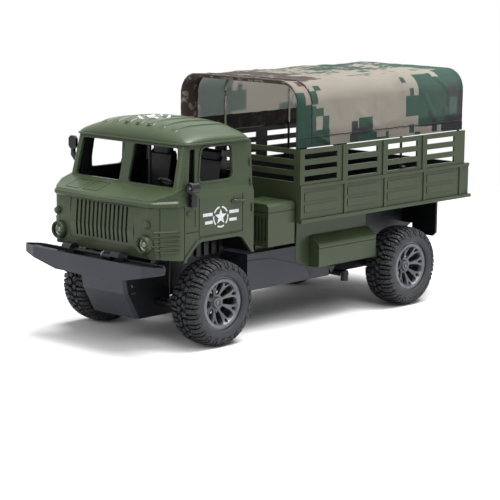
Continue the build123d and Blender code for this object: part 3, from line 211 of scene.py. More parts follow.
def moulded(name, colour, shade, roughness, grain=0.00002, edge=0.35 * MM):
    """Moulded plastic: a fine grain, slow changes of tone and gloss, edges that catch the light, and painted shade
    that darkens the colour towards black in creases and corners.
    """
    look = Shader(name)
    place = look.place()
    slow = look.noise(place, 35)
    fine = look.noise(place, 1400, 2)
    # painted shade: ambient occlusion darkens the colour towards black in creases and corners
    crease_shade = look.node("AmbientOcclusion", {"Distance": 3.0 * MM}, samples=4).outputs[1]
    toned = look.mix(look.between(slow, 0.35, 0.7), shade, colour)
    look.set(Base_Color=look.mix(look.between(crease_shade, 0.25, 0.95, 0.62, 0.0), toned, (0.004, 0.004, 0.004, 1)),
             Roughness=look.wandering(place, 160, roughness - 0.05, roughness + 0.07),
             Specular_IOR_Level=0.2, Coat_Weight=0.2, Coat_Roughness=0.3)
    soft = look.node("Bevel", {"Radius": edge}, samples=4).outputs[0]
    look.set(Normal=look.relief(fine, grain, soft))
    return look


def olive_look():
    """Olive plastic, with painted shade: near black on its faces inside the cab and inside the bed."""
    look = moulded("olive plastic", linear(62, 74, 51), linear(56, 67, 46), 0.36)
    parts = look.split(look.place())
    x = look.times(look.minus(parts[0], front_axle_x), 1000.0)
    y = look.times(look.size(parts[1]), 1000.0)
    z = look.times(parts[2], 1000.0)
    # half way through the cab's walls: nose, cowl and screen, leaning sides, corners and rear
    screen = look.minus(30.6, look.times(look.minus(z, 112.6), 0.245))
    cowl = look.plus(31.8, look.math("DIVIDE", look.minus(111.3, z), 0.335))
    front = look.math("MINIMUM", 50.4, look.most(screen, cowl))
    side = look.minus(look.between(z, 105.5, 110.5, 58.3, 56.5),
                     look.between(z, 110.5, 142.0, 0.0, 1.6))
    corner = look.plus(look.times(x, 0.419), look.times(y, 0.908))
    cab_shade_mask = look.times(look.under(x, look.minus(front, look.times(y, 0.028))),
                    look.under(y, side), look.under(corner, 66.4),
                    look.over(x, -38.3), look.under(z, 142.2))
    bed_shade_mask = look.times(look.under(x, -84.1), look.over(x, -281.6),
                    look.under(y, 63.0), look.over(z, 79.9))
    outside = look.surface.inputs["Base Color"].links[0].from_socket
    # painted shade: the faces inside the cab and inside the bed are painted near black
    look.set(Base_Color=look.mix(look.most(cab_shade_mask, bed_shade_mask), outside, linear(24, 25, 28)))
    return look.material


olive = olive_look()
grey = moulded("grey plastic", linear(46, 48, 57), linear(40, 42, 50), 0.42)
black = moulded("black plastic", linear(22, 23, 27), linear(16, 17, 20), 0.36).material
white_mark = moulded("white marking", linear(228, 232, 236), linear(206, 212, 216), 0.5).material

# painted shade: the keel's sides ahead of and behind the skirts, and the upward ledges behind its front, are painted
# near black
keel_normal = grey.split(grey.node("NewGeometry").outputs["True Normal"])
keel_place = grey.split(grey.place())
sideways = grey.over(grey.size(keel_normal[1]), 0.9)
forward = grey.over(keel_place[0], front_axle_x - 42.5 * MM)
inboard = grey.under(grey.size(keel_place[1]), 30 * MM)
backward = grey.under(keel_place[0], front_axle_x - 132.5 * MM)
keel_shade = grey.times(sideways, inboard, grey.most(forward, backward))
ledges = grey.times(grey.over(keel_normal[2], 0.9),
                   grey.under(keel_place[0], front_axle_x + 45 * MM))
keel_shade = grey.most(keel_shade, ledges)
plain_grey = grey.surface.inputs["Base Color"].links[0].from_socket
grey.set(Base_Color=grey.mix(keel_shade, plain_grey, linear(26, 27, 32)))
grey = grey.material


def rubber_look():
    """Rubber: a plain side wall, and a darker, rough tread with small cuts in its blocks; painted shade darkens it
    towards black in creases.
    """
    look = Shader("tyre rubber")
    place = look.place()
    parts = look.split(place)
    ahead = look.size(look.minus(parts[0], front_axle_x))
    back = look.size(look.minus(parts[0], rear_axle_x))
    across = look.math("POWER", look.math("MINIMUM", ahead, back), 2.0)
    up = look.math("POWER", look.minus(parts[2], axle_z), 2.0)
    tread = look.between(look.math("SQRT", look.plus(across, up)), 25.2 * MM, 26.6 * MM)
    # painted shade: ambient occlusion darkens the rubber towards black in the creases between the lugs
    crease_shade = look.node("AmbientOcclusion", {"Distance": 3.5 * MM}, samples=4).outputs[1]
    toned = look.mix(look.between(look.noise(place, 90), 0.35, 0.7), linear(42, 43, 48), linear(54, 56, 62))
    toned = look.mix(look.times(tread, 0.5), toned, linear(26, 26, 30))
    look.set(Base_Color=look.mix(look.between(crease_shade, 0.3, 0.95, 0.85, 0.0), toned, (0.002, 0.002, 0.002, 1)),
             Roughness=look.wandering(place, 300, 0.5, 0.7), Specular_IOR_Level=0.4)
    cells = look.node("TexVoronoi", {"Vector": place, "Scale": 330.0}, feature="DISTANCE_TO_EDGE").outputs[0]
    cuts = look.times(look.between(cells, 0.0, 0.12), tread)
    soft = look.node("Bevel", {"Radius": 0.3 * MM}, samples=3).outputs[0]
    rough = look.relief(look.noise(place, 900, 3), 0.00005, soft)
    look.set(Normal=look.relief(cuts, 0.0009, rough))
    return look.material


def metal_look(name, colour, shade, roughness, metallic, scale=260):
    look = Shader(name)
    place = look.place()
    look.set(Base_Color=look.mix(look.between(look.noise(place, scale), 0.35, 0.7), shade, colour), Metallic=metallic,
             Roughness=look.wandering(place, scale * 2, roughness - 0.08, roughness + 0.08))
    soft = look.node("Bevel", {"Radius": 0.25 * MM}, samples=3).outputs[0]
    look.set(Normal=look.relief(look.noise(place, 1800, 2), 0.00001, soft))
    return look.material


rubber = rubber_look()
rim_metal = metal_look("rim grey", linear(112, 113, 118), linear(88, 89, 94), 0.38, 0.55)
bright_metal = metal_look("bright metal", linear(215, 214, 210), linear(180, 180, 178), 0.25, 0.9)
wire_metal = metal_look("bow wire", linear(205, 200, 190), linear(160, 155, 148), 0.35, 0.8)
lens_look = metal_look("lens", linear(128, 138, 122), linear(84, 94, 78), 0.25, 0.3)

looks = {"body_green": olive, "chassis_grey": grey, "black_plastic": black, "rim_grey": rim_metal,
         "tyre_rubber": rubber, "lamp_lens": lens_look, "bow_wire": wire_metal, "canvas": olive}
slot_of = {entry["node"]: entry["material_slot"] for entry in frame["record"]["subparts"]}
darker = {"front_axle": black, "rear_axle": black, "knuckle_left": black, "knuckle_right": black, "tie_rod": black,
          "mud_flaps": black, "battery_cover": black}
for node, piece in frame["nodes"].items():
    piece.data.materials.clear()
    piece.data.materials.append(darker.get(node, looks[slot_of[node]]))


# ================= making pieces =================
weld_distance = 1e-6


def mesh_of(name, part, weld=True):
    """A mesh of points and faces, its faces all turned outwards."""
    mesh = bpy.data.meshes.new(name)
    mesh.from_pydata(part[0], [], part[1])
    made = bmesh.new()
    made.from_mesh(mesh)
    if weld:
        bmesh.ops.remove_doubles(made, verts=made.verts, dist=weld_distance)
    bmesh.ops.recalc_face_normals(made, faces=made.faces)
    made.to_mesh(mesh)
    made.free()
    return mesh


def piece_of(name, part, material, body="root", sharp=35, bevel=None):
    """A mesh that rides on a body; its points are places in the part's frame."""
    name = name.replace(" ", "_").replace("-", "minus_")
    mesh = mesh_of(name, part)
    for face in mesh.polygons:
        face.use_smooth = True
    mesh.set_sharp_from_angle(angle=radians(sharp))
    mesh.materials.append(material)
    piece = link(bpy.data.objects.new(name, mesh))
    if bevel:
        rounding = piece.modifiers.new("edges", "BEVEL")
        rounding.width = bevel
        rounding.segments = 2
        rounding.limit_method = "ANGLE"
        rounding.angle_limit = radians(sharp)
    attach(piece, body)
    return piece


def turned(profile, count, spot=None):
    """Points and faces of a closed profile of (along, radius) turned about the y axis."""
    points, faces = [], []
    size = len(profile)
    for k in range(count):
        turn = 2 * pi * k / count
        points += [Vector((radius * sin(turn), along, radius * cos(turn))) for along, radius in profile]
        for i in range(size):
            j = (i + 1) % size
            a, b = k * size, (k + 1) % count * size
            faces.append((a + i, a + j, b + j, b + i))
    if spot is not None:
        points = [spot @ point for point in points]
    return points, faces


def prism_faces(size):
    """Foot, top and sides of a prism whose points are its foot's and then its top's."""
    faces = [tuple(range(size))[::-1], tuple(range(size, 2 * size))]
    return faces + [(i, (i + 1) % size, size + (i + 1) % size, size + i) for i in range(size)]


def sheet_faces(columns, rows, turned_over=False):
    """Faces of a sheet whose points run row by row up each column."""
    faces = []
    for i in range(columns):
        for j in range(rows):
            a = i * (rows + 1) + j
            b = a + rows + 1
            faces.append((a, b, b + 1, a + 1) if turned_over else (a, a + 1, b + 1, b))
    return faces


def scaled(pairs):
    """Pairs of millimetres in metres."""
    return [(a * MM, b * MM) for a, b in pairs]


def block(outline, low, high, taper=1.0):
    """Points and faces of a prism: an outline of (x, y) pairs, and its two levels."""
    size = len(outline)
    cx = sum(p[0] for p in outline) / size
    cy = sum(p[1] for p in outline) / size
    points = [Vector((x, y, low)) for x, y in outline]
    points += [Vector((cx + (x - cx) * taper, cy + (y - cy) * taper, high)) for x, y in outline]
    return points, prism_faces(size)


def join_up(parts):
    """One list of points and one of faces from several."""
    points, faces = [], []
    for some, quads in parts:
        start = len(points)
        points += some
        faces += [tuple(start + i for i in face) for face in quads]
    return points, faces


def moved(part, matrix):
    return [matrix @ point for point in part[0]], part[1]


def facing(origin, across, upward):
    """Matrix from flat (x, y, height) in metres to the plane with those two directions."""
    x = across.normalized()
    z = x.cross(upward).normalized()
    y = z.cross(x)
    return Matrix(((x.x, y.x, z.x, origin.x), (x.y, y.y, z.y, origin.y), (x.z, y.z, z.z, origin.z), (0, 0, 0, 1)))


# ================= wheels =================
tyre_r = 30.6 * MM
carcass_r = 28.3 * MM
bead_r = 18.9 * MM
wheel_boxes = {corner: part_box("tyre_" + corner) for corner in corners}


def wheel_spot(corner):
    """Matrix of a wheel's middle; its own y axis points outwards."""
    low, high = wheel_boxes[corner]
    middle = Vector([(a + b) / 2 for a, b in zip(low, high)])
    outwards = 0 if middle.y > 0 else pi
    return Matrix.Translation(middle) @ Matrix.Rotation(outwards, 4, "Z")


def on_tyre(arc, along, radius):
    """Point at a distance round the tread, across it and out from the axle."""
    turn = arc / tyre_r
    return Vector((radius * sin(turn), along, radius * cos(turn)))


def crown(along):
    """Radius of the lugs' tips at a distance from the tread's middle."""
    return tyre_r - 1.3 * MM * (abs(along) / (10.5 * MM)) ** 2.6


def shoulder_lug(arc, side, reach, width, skew):
    """Lug that starts on the tread, wraps the shoulder and ends on the side wall."""
    stations = [(4.6, crown(4.6 * MM), 26.8 * MM), (8.6, crown(8.6 * MM), 26.8 * MM),
                (11.0, 29.0 * MM, 26.0 * MM), (12.3, 27.3 * MM, 25.4 * MM),
                (12.55, reach * MM, reach * MM - 0.6 * MM)]
    points = []
    for k, (along, top, foot) in enumerate(stations):
        half = width / 2 * (0.8 + 0.07 * k)
        middle = arc + skew * (along - 8) / 8
        y = side * along * MM
        points += [on_tyre(middle - half * 1.12, y, foot), on_tyre(middle - half * 0.86, y, top),
                   on_tyre(middle + half * 0.86, y, top), on_tyre(middle + half * 1.12, y, foot)]
    faces = [(0, 1, 2, 3), (16, 19, 18, 17)]
    for k in range(len(stations) - 1):
        a, b = 4 * k, 4 * k + 4
        faces += [(a + i, b + i, b + (i + 1) % 4, a + (i + 1) % 4) for i in range(4)]
    return points, faces


def tread_block(arc, along, length, width, turn):
    """Block in the middle of the tread, askew."""
    outline = [(-length / 2, -width / 2), (length * 0.2, -width / 2), (length / 2, -width * 0.1),
               (length * 0.42, width / 2), (-length * 0.3, width / 2), (-length / 2, width * 0.2)]
    points = []
    for level, scale in ((0, 1.1), (1, 0.86)):
        for x, y in outline:
            x, y = x * scale, y * scale
            sideways = along + x * sin(turn) + y * cos(turn)
            radius = crown(sideways) if level else 27.6 * MM
            points.append(on_tyre(arc + x * cos(turn) - y * sin(turn), sideways, radius))
    return points, prism_faces(len(outline))


def tyre_parts(seed):
    rounding = Random(seed)
    wall = [(0, carcass_r)] + scaled([(6.5, 28.2), (9.6, 27.5), (11.3, 26.2), (12.0, 24.9), (12.25, 24.7),
                                      (12.4, 23.2), (12.3, 21.4), (11.8, 20.0), (11.0, 19.2)]) + [(10.2 * MM, bead_r)]
    profile = [(-y, r) for y, r in reversed(wall)] + wall[1:]
    parts = [turned(profile, 96)]
    pitch = 2 * pi * tyre_r / 24
    for k in range(24):
        for side in (-1, 1):
            start = k * pitch + (pitch / 2 if side > 0 else 0)
            skew = rounding.uniform(-0.5, 0.5) * MM
            parts.append(shoulder_lug(start, side, 24.9 + rounding.uniform(-0.3, 0.3), 4.3 * MM, skew))
            parts.append(shoulder_lug(start + pitch / 2, side, 26.2 + rounding.uniform(-0.3, 0.3), 2.4 * MM, -skew))
    for k in range(34):
        arc = 2 * pi * tyre_r * k / 34
        for along in (-2.3, 2.3):
            parts.append(tread_block(arc + rounding.uniform(-0.5, 0.5) * MM + along * 0.6 * MM,
                                     (along + rounding.uniform(-0.3, 0.3)) * MM,
                                     rounding.uniform(3.9, 4.7) * MM, rounding.uniform(3.0, 3.8) * MM,
                                     radians(rounding.uniform(15, 55)) * (1 if along > 0 else -1)))
    return join_up(parts)


def cut(target, cutters):
    """The target with the cutters taken out of it, as a plain mesh."""
    tool = link(bpy.data.objects.new("cutter", mesh_of("cutter", join_up(cutters), weld=False)))
    carve = target.modifiers.new("cut", "BOOLEAN")
    carve.object = tool
    carve.operation = "DIFFERENCE"
    carve.solver = "EXACT"
    bpy.context.view_layer.update()
    whole = bpy.data.meshes.new_from_object(target.evaluated_get(bpy.context.evaluated_depsgraph_get()))
    target.modifiers.remove(carve)
    target.data = whole
    bpy.data.objects.remove(tool)


def radial(turn):
    """Matrix from flat (across, out from the axle, outwards) to the wheel's own axes at an angle."""
    return Matrix.Rotation(turn, 4, "Y") @ Matrix(((1, 0, 0, 0), (0, 0, 1, 0), (0, 1, 0, 0), (0, 0, 0, 1)))


def make_rim():
    """Rim with eight long windows between its spokes and a small hole at each spoke's end."""
    profile = [(-10.6, 18.9), (-10.6, 17.7), (2.5, 17.7), (6.6, 15.6), (2.2, 5.0), (-9, 5.0), (-9, 0), (6.0, 0),
               (6.0, 1.5), (5.3, 1.7), (5.3, 2.5), (5.9, 2.7), (5.9, 3.5), (5.2, 3.9), (4.2, 4.4), (4.4, 5.3),
               (6.5, 10.2), (8.8, 14.6), (9.9, 15.2), (10.4, 15.6), (10.6, 17.2), (10.5, 17.7), (10.2, 18.1),
               (9.9, 18.2), (9.9, 18.9)]
    mesh = mesh_of("rim", turned(scaled(profile), 96))
    blank = link(bpy.data.objects.new("rim_blank", mesh))
    half_window = [(1.5, 5.8), (2.2, 8.0), (2.85, 12.0), (2.75, 13.6), (1.7, 14.8)]
    window = half_window + [(-x, y) for x, y in reversed(half_window)]
    notch = [(-0.5, 12.7), (0.5, 12.7), (1.4, 14.3), (0.9, 15.1), (-0.9, 15.1), (-1.4, 14.3)]
    cutters = []
    for k in range(8):
        for outline, turn in ((window, k * pi / 4), (notch, (k + 0.5) * pi / 4)):
            shape = scaled(outline)
            cutters.append(moved(block(shape, 1 * MM, 12 * MM), radial(turn)))
    cut(blank, cutters)
    shape = blank.data
    bpy.data.objects.remove(blank)
    return [v.co.copy() for v in shape.vertices], [tuple(p.vertices) for p in shape.polygons]


rim_parts = make_rim()
tyre_shapes = [tyre_parts(seed) for seed in (3, 8)]
for k, corner in enumerate(corners):
    spot = wheel_spot(corner)
    spin = Matrix.Rotation(radians(11 + 37 * k), 4, "Y")
    body = "wheel_" + corner
    tyre = piece_of("tyre " + corner, moved(tyre_shapes[k % 2], spot @ spin), rubber, body, sharp=40)
    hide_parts("tyre_" + corner)
    rim_spot = spot @ Matrix.Rotation(radians(15 * k), 4, "Y")
    rim = piece_of("rim " + corner, moved(rim_parts, rim_spot), rim_metal, body, sharp=38)
    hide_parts("rim_" + corner)
    # bright lugs of the driving plate behind the windows, and the dark drum that they sit on
    drum = turned(scaled([(-2.0, 0), (-2.0, 16.5), (-3.0, 16.5), (-3.0, 0)]), 48)
    piece_of("drum " + corner, moved(drum, spot), black, body)
    heads = []
    for j in range(6):
        turns = [pi / 3 * j + pi / 6 + radians(a) for a in (-13, -6, 0, 6, 13)]
        lug = [(6.0 * sin(a) * MM, 6.0 * cos(a) * MM) for a in turns]
        lug += [(8.3 * sin(a) * MM, 8.3 * cos(a) * MM) for a in reversed(turns)]
        heads.append(moved(block(lug, 0.5 * MM, 1.9 * MM), radial(0)))
    piece_of("screws " + corner, moved(join_up(heads), spot), bright_metal, body)


# ================= wire bows =================
low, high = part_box("canopy")
canopy_rear_x = (low[0] - front_axle_x) / MM
canopy_front_x = (high[0] - front_axle_x) / MM
canopy_length = canopy_front_x - canopy_rear_x
canopy_half = high[1] / MM
canopy_foot_z = low[2] / MM
canopy_top_z = high[2] / MM
canopy_bend = 17.0
canopy_spring_z = canopy_top_z - canopy_bend
arc_start = canopy_spring_z - canopy_foot_z
arc_length = canopy_bend * pi / 2
across_length = 2 * (arc_start + arc_length + canopy_half - canopy_bend)


def section(s, inset=0.0):
    """Point (y, z) and outward normal of the canopy's section at a distance along it from its left foot."""
    if s > across_length / 2:
        y, z, ny, nz = section(across_length - s, inset)
        return -y, z, -ny, nz
    if s < arc_start:
        return canopy_half - inset, canopy_foot_z + s, 1.0, 0.0
    if s < arc_start + arc_length:
        turn = (s - arc_start) / canopy_bend
        radius = canopy_bend - inset
        return (canopy_half - canopy_bend + radius * cos(turn), canopy_spring_z + radius * sin(turn), cos(turn),
                sin(turn))
    return canopy_half - canopy_bend - (s - arc_start - arc_length), canopy_top_z - inset, 0.0, 1.0


def tube(line, radius, sides):
    """Points and faces of a round bar along a line of points."""
    points, faces = [], []
    for k, spot in enumerate(line):
        ahead = line[min(k + 1, len(line) - 1)] - line[max(k - 1, 0)]
        turn = ahead.to_track_quat("Z", "Y").to_matrix()
        for j in range(sides):
            angle = 2 * pi * j / sides
            points.append(spot + turn @ Vector((radius * cos(angle), radius * sin(angle), 0)))
    for k in range(len(line) - 1):
        faces += [(k * sides + j, k * sides + (j + 1) % sides, (k + 1) * sides + (j + 1) % sides, (k + 1) * sides + j)
                  for j in range(sides)]
    faces += [tuple(range(sides))[::-1], tuple(range(len(points) - sides, len(points)))]
    return points, faces


bow_low, bow_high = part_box("canopy_bows")
bow_xs = [(bow_high[0] - front_axle_x) / MM - 1, -130.0, -204.0, (bow_low[0] - front_axle_x) / MM + 1]
bow_inset = canopy_half - bow_high[1] / MM + 1.0
bows = []
for bow_x in bow_xs:
    line = [at(bow_x, canopy_half - bow_inset, bow_low[2] / MM)]
    for k in range(49):
        y, z, _, _ = section(2 + k * (across_length - 4) / 48, bow_inset)
        line.append(at(bow_x, y, z))
    line.append(at(bow_x, bow_inset - canopy_half, bow_low[2] / MM))
    bows.append(tube(line, 1.0 * MM, 12))
bow_piece = piece_of("wire bows", join_up(bows), wire_metal)
bow_piece.data.materials.append(black)
for face in bow_piece.data.polygons:
    face.material_index = int(face.center.z < (canopy_foot_z - 0.5) * MM)
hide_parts("canopy_bows")

# ================= canvas canopy =================
print_square = 5.2          # side of one printed square, in mm
seam_level = 7.5            # of the long stitched seam above the foot, in mm
front_seam_x = -99.0


def sag(x):
    """How far the cloth hangs between its bows, from 0 at a bow to 1 in the middle of a bay."""
    for ahead, behind in zip(bow_xs, bow_xs[1:]):
        if behind <= x <= ahead:
            return sin(pi * (ahead - x) / (ahead - behind))
    return 0.0


def fold(x, s, x1, s1, x2, s2, width):
    """Ridge of 0 to 1 along a straight fold between two places on the cloth."""
    along = Vector((x2 - x1, s2 - s1))
    there = Vector((x - x1, s - s1))
    t = max(0.0, min(1.0, there.dot(along) / along.length_squared))
    away = (there - along * t).length / width
    return max(0.0, 1 - away * away) ** 2 * (1 - (2 * t - 1) ** 4)


folds = [(-121, 1, -104, 9, 2.2, 0.9), (-140, 52, -120, 70, 3.0, 0.6), (-196, 40, -214, 62, 3.5, 0.6),
         (-262, 30, -240, 55, 3.5, 0.6), (-178, 6, -150, 24, 4.0, 0.5), (-246, 8, -228, 34, 4.0, 0.5)]
# the far wall has the same folds turned half round: a fold at x stands there at this less x
far_fold_x = -361.5


def cloth_lift(x, s):
    """Height of the cloth over its plain section, in mm."""
    near = min(s, across_length - s)
    edge = min(near, x - canopy_rear_x, canopy_front_x - x)
    rumple = noise.noise(Vector((x / 16, near / 13 + (40 if s > across_length / 2 else 0), 2))) * 0.45
    rumple += noise.noise(Vector((x / 5.5, near / 6.5, 9))) * 0.13
    lift = -0.9 * sag(x) * (0.35 + 0.65 * min(1, near / 60)) + rumple * (0.5 + 0.5 * min(1, edge / 8))
    for x1, s1, x2, s2, width, height in folds:
        lift += height * (fold(x, s, x1, s1, x2, s2, width)
                          + fold(far_fold_x - x, across_length - s, x1, s1, x2, s2, width))
    lift -= 0.28 * max(0.0, 1 - abs(near - seam_level) / 1.1)
    lift -= 0.28 * max(0.0, 1 - abs(x - front_seam_x) / 1.1)
    return lift


def on_cloth(x, s, height=0.0):
    """Place on the cloth at x and at a distance along its section, in mm."""
    inner = 0.9
    y, z, ny, nz = section(s, inner)
    lift = cloth_lift(x, s) + height
    return at(x, y + ny * lift, z + nz * lift)


def camouflage(name, inner_face):
    """Woven canvas with square-stepped patches of green, brown and black on a beige ground."""
    look = Shader(name)
    spread = look.node("Attribute", attribute_name="cloth").outputs["Vector"]
    wander = look.node("TexNoise", {"Vector": spread, "Scale": 0.2, "Detail": 3.0, "Roughness": 0.6})
    shift = look.vector("SUBTRACT", wander.outputs[1], (0.5, 0.5, 0.5))
    shift = look.node("VectorMath", {0: shift, 3: 1.2}, operation="SCALE").outputs[0]
    bent = look.vector("ADD", spread, shift)
    parts = look.split(bent)
    # the far wall carries the near wall's print, turned half round
    far = look.over(parts[1], across_length - arc_start - arc_length)
    turned_x = look.minus(canopy_rear_x + canopy_front_x, parts[0])
    along = look.node("Mix", {0: far, 2: parts[0], 3: turned_x}).outputs[0]
    turned_s = look.minus(across_length, parts[1])
    around = look.node("Mix", {0: far, 2: parts[1], 3: turned_s}).outputs[0]
    beige, green, brown, dark = linear(178, 170, 157), linear(6, 70, 54), linear(80, 62, 56), linear(31, 30, 37)
    leaf = linear(58, 92, 84)
    colour = look.mix(look.noise(spread, 0.06, 2), beige, linear(166, 158, 145))

    # squares of the print on the top: green to the rear and brown to the front, ragged at their edges
    square = look.vector("SNAP", bent, (print_square, print_square, 1000))
    chance = look.node("TexWhiteNoise", {"Vector": square}, noise_dimensions="3D").outputs[0]
    chance = look.times(look.minus(chance, 0.5), 0.13)
    over_top = look.over(around, 56.0)
    past_plain = look.most(look.over(around, 92.0), look.over(along, -124.0))
    to_front = look.plus(look.noise(square, 0.035, 2), look.between(along, -175, -110, -0.16, 0.10))
    to_rear = look.plus(look.noise(look.vector("ADD", square, (300, 70, 9)), 0.032, 2),
                        look.between(along, -130, -200, -0.14, 0.05))
    small = look.noise(look.vector("ADD", square, (90, 500, 4)), 0.06, 1)
    for field, tint, level, place in ((to_rear, green, 0.5, past_plain), (to_front, brown, 0.49, past_plain),
                                      (small, leaf, 0.66, over_top)):
        inked = look.over(look.plus(field, chance), level)
        colour = look.mix(look.times(inked, over_top, place), colour, tint)

    # rear, front, foot and top of each patch of the left wall: x from the front axle, and height over the foot
    patches = ((green, [(-290, -253, 0, 58), (-290, -262, 57, 100), (-254, -223, 6, 46), (-245, -223, 45, 51),
                        (-225, -207, 15, 31), (-217, -212, 31, 37), (-210, -204, 42, 48),
                        (-225, -219, 0, 2.5), (-218, -212, 2, 8.5), (-187, -183.5, 0, 5.5),
                        (-187, -173, 0, 1.8), (-173, -141.5, 0, 6.5), (-168, -152, 6, 18),
                        (-119, -99, 0, 12), (-118, -111, 11, 22), (-112, -99, 22, 28),
                        (-104, -99, 12, 30), (-106, -98.5, 31, 42), (-112, -105, 42, 47),
                        (-99, -80, 0, 31), (-92, -80, 30, 41)]),
               (brown, [(-99, -90, 47, 54), (-108, -98, 54, 66)]),
               (dark, [(-151, -143.5, 0, 16), (-162, -151, 5, 10.5), (-290, -256.5, 1, 13), (-257, -252, 1, 7),
                       (-290, -271, 12, 32), (-270, -258, 28, 36), (-272, -268, 27, 32), (-262, -258, 19, 29),
                       (-256.5, -252, 13, 19), (-240, -235.5, 11, 17.5), (-246.5, -240, 1, 12)]),
               (leaf, [(-271, -262, 14, 27)]),
               (beige, [(-252, -247, 0, 6)]),
               (green, [(-168, -161, 60, 66)]),
               (leaf, [(-222, -213, 64, 70)]),
               (green, [(-250, -243, 64, 72)]),
               (beige, [(-251, -246, 46, 58)]),
               (leaf, [(-204, -194, 76, 84)]),
               (brown, [(-129, -119, 70, 80)]))
    for tint, (rear, front, foot, top) in [(tint, place) for tint, places in patches for place in places]:
        wide = look.size(look.minus(along, (rear + front) / 2))
        tall = look.size(look.minus(around, (foot + top) / 2))
        outside = look.most(look.minus(wide, (front - rear) / 2),
                            look.minus(tall, (top - foot) / 2))
        colour = look.mix(look.between(outside, 0.2, -0.2), colour, tint)

    far_front = look.times(far, look.over(parts[0], -103.0))
    colour = look.mix(far_front, colour, look.mix(look.over(chance, 0.035), brown, beige))
    thin = 0.36
    if inner_face:
        # painted light: the inner face is painted pale, with the print faint on it, to stand for light shining
        # through the cloth, but for the print that the hems turn inwards along the foot and the front
        lit_through = look.mix(0.66, colour, linear(206, 208, 200))
        spots = look.over(look.plus(look.noise(square, 0.11, 1), chance), 0.58)
        hem_print = look.mix(spots, linear(62, 46, 42), linear(150, 136, 120))
        foot_print = look.mix(spots, linear(30, 26, 28), linear(72, 56, 50))
        at_foot = look.under(around, 12.6)
        at_front = look.over(parts[0], -100.5)
        colour = look.mix(at_front, look.mix(at_foot, lit_through, foot_print), hem_print)
        thin = look.between(look.most(at_foot, at_front), 0, 1, 0.92, 0.0)
    weave = look.node("TexWave", {"Vector": spread, "Scale": 2.2, "Distortion": 0.6, "Detail": 1.0}).outputs[1]
    turned_place = look.node("VectorRotate", {"Vector": spread, "Angle": pi / 2}, rotation_type="Z_AXIS").outputs[0]
    weft = look.node("TexWave", {"Vector": turned_place, "Scale": 2.2, "Distortion": 0.6, "Detail": 1.0}).outputs[1]
    thread = look.times(weave, weft)
    look.set(Base_Color=look.mix(look.between(thread, 0.0, 1.0, 0.0, 0.14), colour, linear(60, 58, 54)),
             Roughness=look.wandering(spread, 0.5, 0.82, 0.95),
             Normal=look.relief(look.plus(thread, look.times(look.noise(spread, 0.35), 2.0)), 0.00012))
    look.set(Sheen_Weight=0.15)
    # light comes through the thin cloth
    output = next(node for node in look.nodes if node.type == "OUTPUT_MATERIAL")
    through = look.node("BsdfTranslucent", {"Color": look.mix(0.6 if inner_face else 0.25, colour, (1, 1, 1, 1))})
    both = look.node("MixShader", {0: thin, 1: look.surface.outputs[0], 2: through.outputs[0]})
    look.join(both.outputs[0], output, "Surface")
    return look.material


def spread_out(mesh, places):
    """Keeps on each point its place on the cloth spread flat, for the print."""
    values = mesh.attributes.new("cloth", "FLOAT_VECTOR", "POINT")
    for k, (x, s) in enumerate(places):
        values.data[k].vector = (x, s, 0)


canvas = camouflage("camouflage canvas", False)
lining = camouflage("canvas lining", True)
cloth_columns, cloth_rows = 170, 180
cloth_mesh = bpy.data.meshes.new("canopy cloth")
spread_places = [(canopy_rear_x + canopy_length * i / cloth_columns, across_length * j / cloth_rows)
                 for i in range(cloth_columns + 1) for j in range(cloth_rows + 1)]
cloth_mesh.from_pydata([on_cloth(x, s) for x, s in spread_places], [], sheet_faces(cloth_columns, cloth_rows))
spread_out(cloth_mesh, spread_places)
for face in cloth_mesh.polygons:
    face.use_smooth = True
cloth_mesh.materials.append(canvas)
cloth_mesh.materials.append(lining)
cloth = link(bpy.data.objects.new("canopy_cloth", cloth_mesh))
thickness = cloth.modifiers.new("thickness", "SOLIDIFY")
thickness.thickness = 0.5 * MM
thickness.offset = -1
thickness.material_offset = 1
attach(cloth, "root")
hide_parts("canopy")

# stitches: short threads along the seam over each foot and along the front hem
stitch_parts = []
stitch_random = Random(5)


def stitch(x, s, along_x, length, height=0.15):
    half = length / 2
    ends = ((x - half, s), (x + half, s)) if along_x else ((x, s - half), (x, s + half))
    middle = on_cloth(x, s, height + 0.35)
    stitch_parts.append(tube([on_cloth(*ends[0], height), middle, on_cloth(*ends[1], height)],
                             0.42 * MM, 5))


step = 2.0
for k in range(int((canopy_length - 4) / step)):
    x = canopy_rear_x + 3 + k * step + stitch_random.uniform(-0.25, 0.25)
    for s in (seam_level, across_length - seam_level):
        stitch(x, s + stitch_random.uniform(-0.25, 0.25), True, 1.7)
for k in range(int((across_length - 4) / step)):
    s = 3 + k * step + stitch_random.uniform(-0.25, 0.25)
    bowed = front_seam_x + 3.0 * max(0.0, 1 - abs(s - 52) / 22)
    stitch(bowed + stitch_random.uniform(-0.25, 0.25), s, False, 1.7)
thread_look = metal_look("stitching thread", linear(48, 44, 46), linear(34, 31, 34), 0.8, 0.0)
stitches = piece_of("canopy stitches", join_up(stitch_parts), thread_look)

# hems: the cloth is turned under along its four edges
hem_parts = []
for s in (0.6, across_length - 0.6):
    hem_parts.append(tube([on_cloth(canopy_rear_x + 0.4 + k * (canopy_length - 0.8) / 90, s, -0.3)
                           for k in range(91)], 0.55 * MM, 6))
for x in (canopy_rear_x + 0.7, canopy_front_x - 0.7):
    hem_parts.append(tube([on_cloth(x, 0.4 + k * (across_length - 0.8) / 120, -0.3) for k in range(121)],
                          0.6 * MM, 6))
hem = piece_of("canopy hem", join_up(hem_parts), canvas)
hem_places = []
for vertex in hem.data.vertices:
    x = (vertex.co.x - front_axle_x) / MM
    z = min(vertex.co.z / MM, canopy_top_z)
    rise = z - canopy_foot_z
    if z > canopy_spring_z:
        rise = arc_start + canopy_bend * asin(min(1.0, (z - canopy_spring_z) / canopy_bend))
    if abs(vertex.co.y) / MM < canopy_half - canopy_bend:
        rise = arc_start + arc_length + canopy_half - canopy_bend - abs(vertex.co.y) / MM
    if vertex.co.y < 0:
        rise = across_length - rise
    hem_places.append((x, rise))
spread_out(hem.data, hem_places)

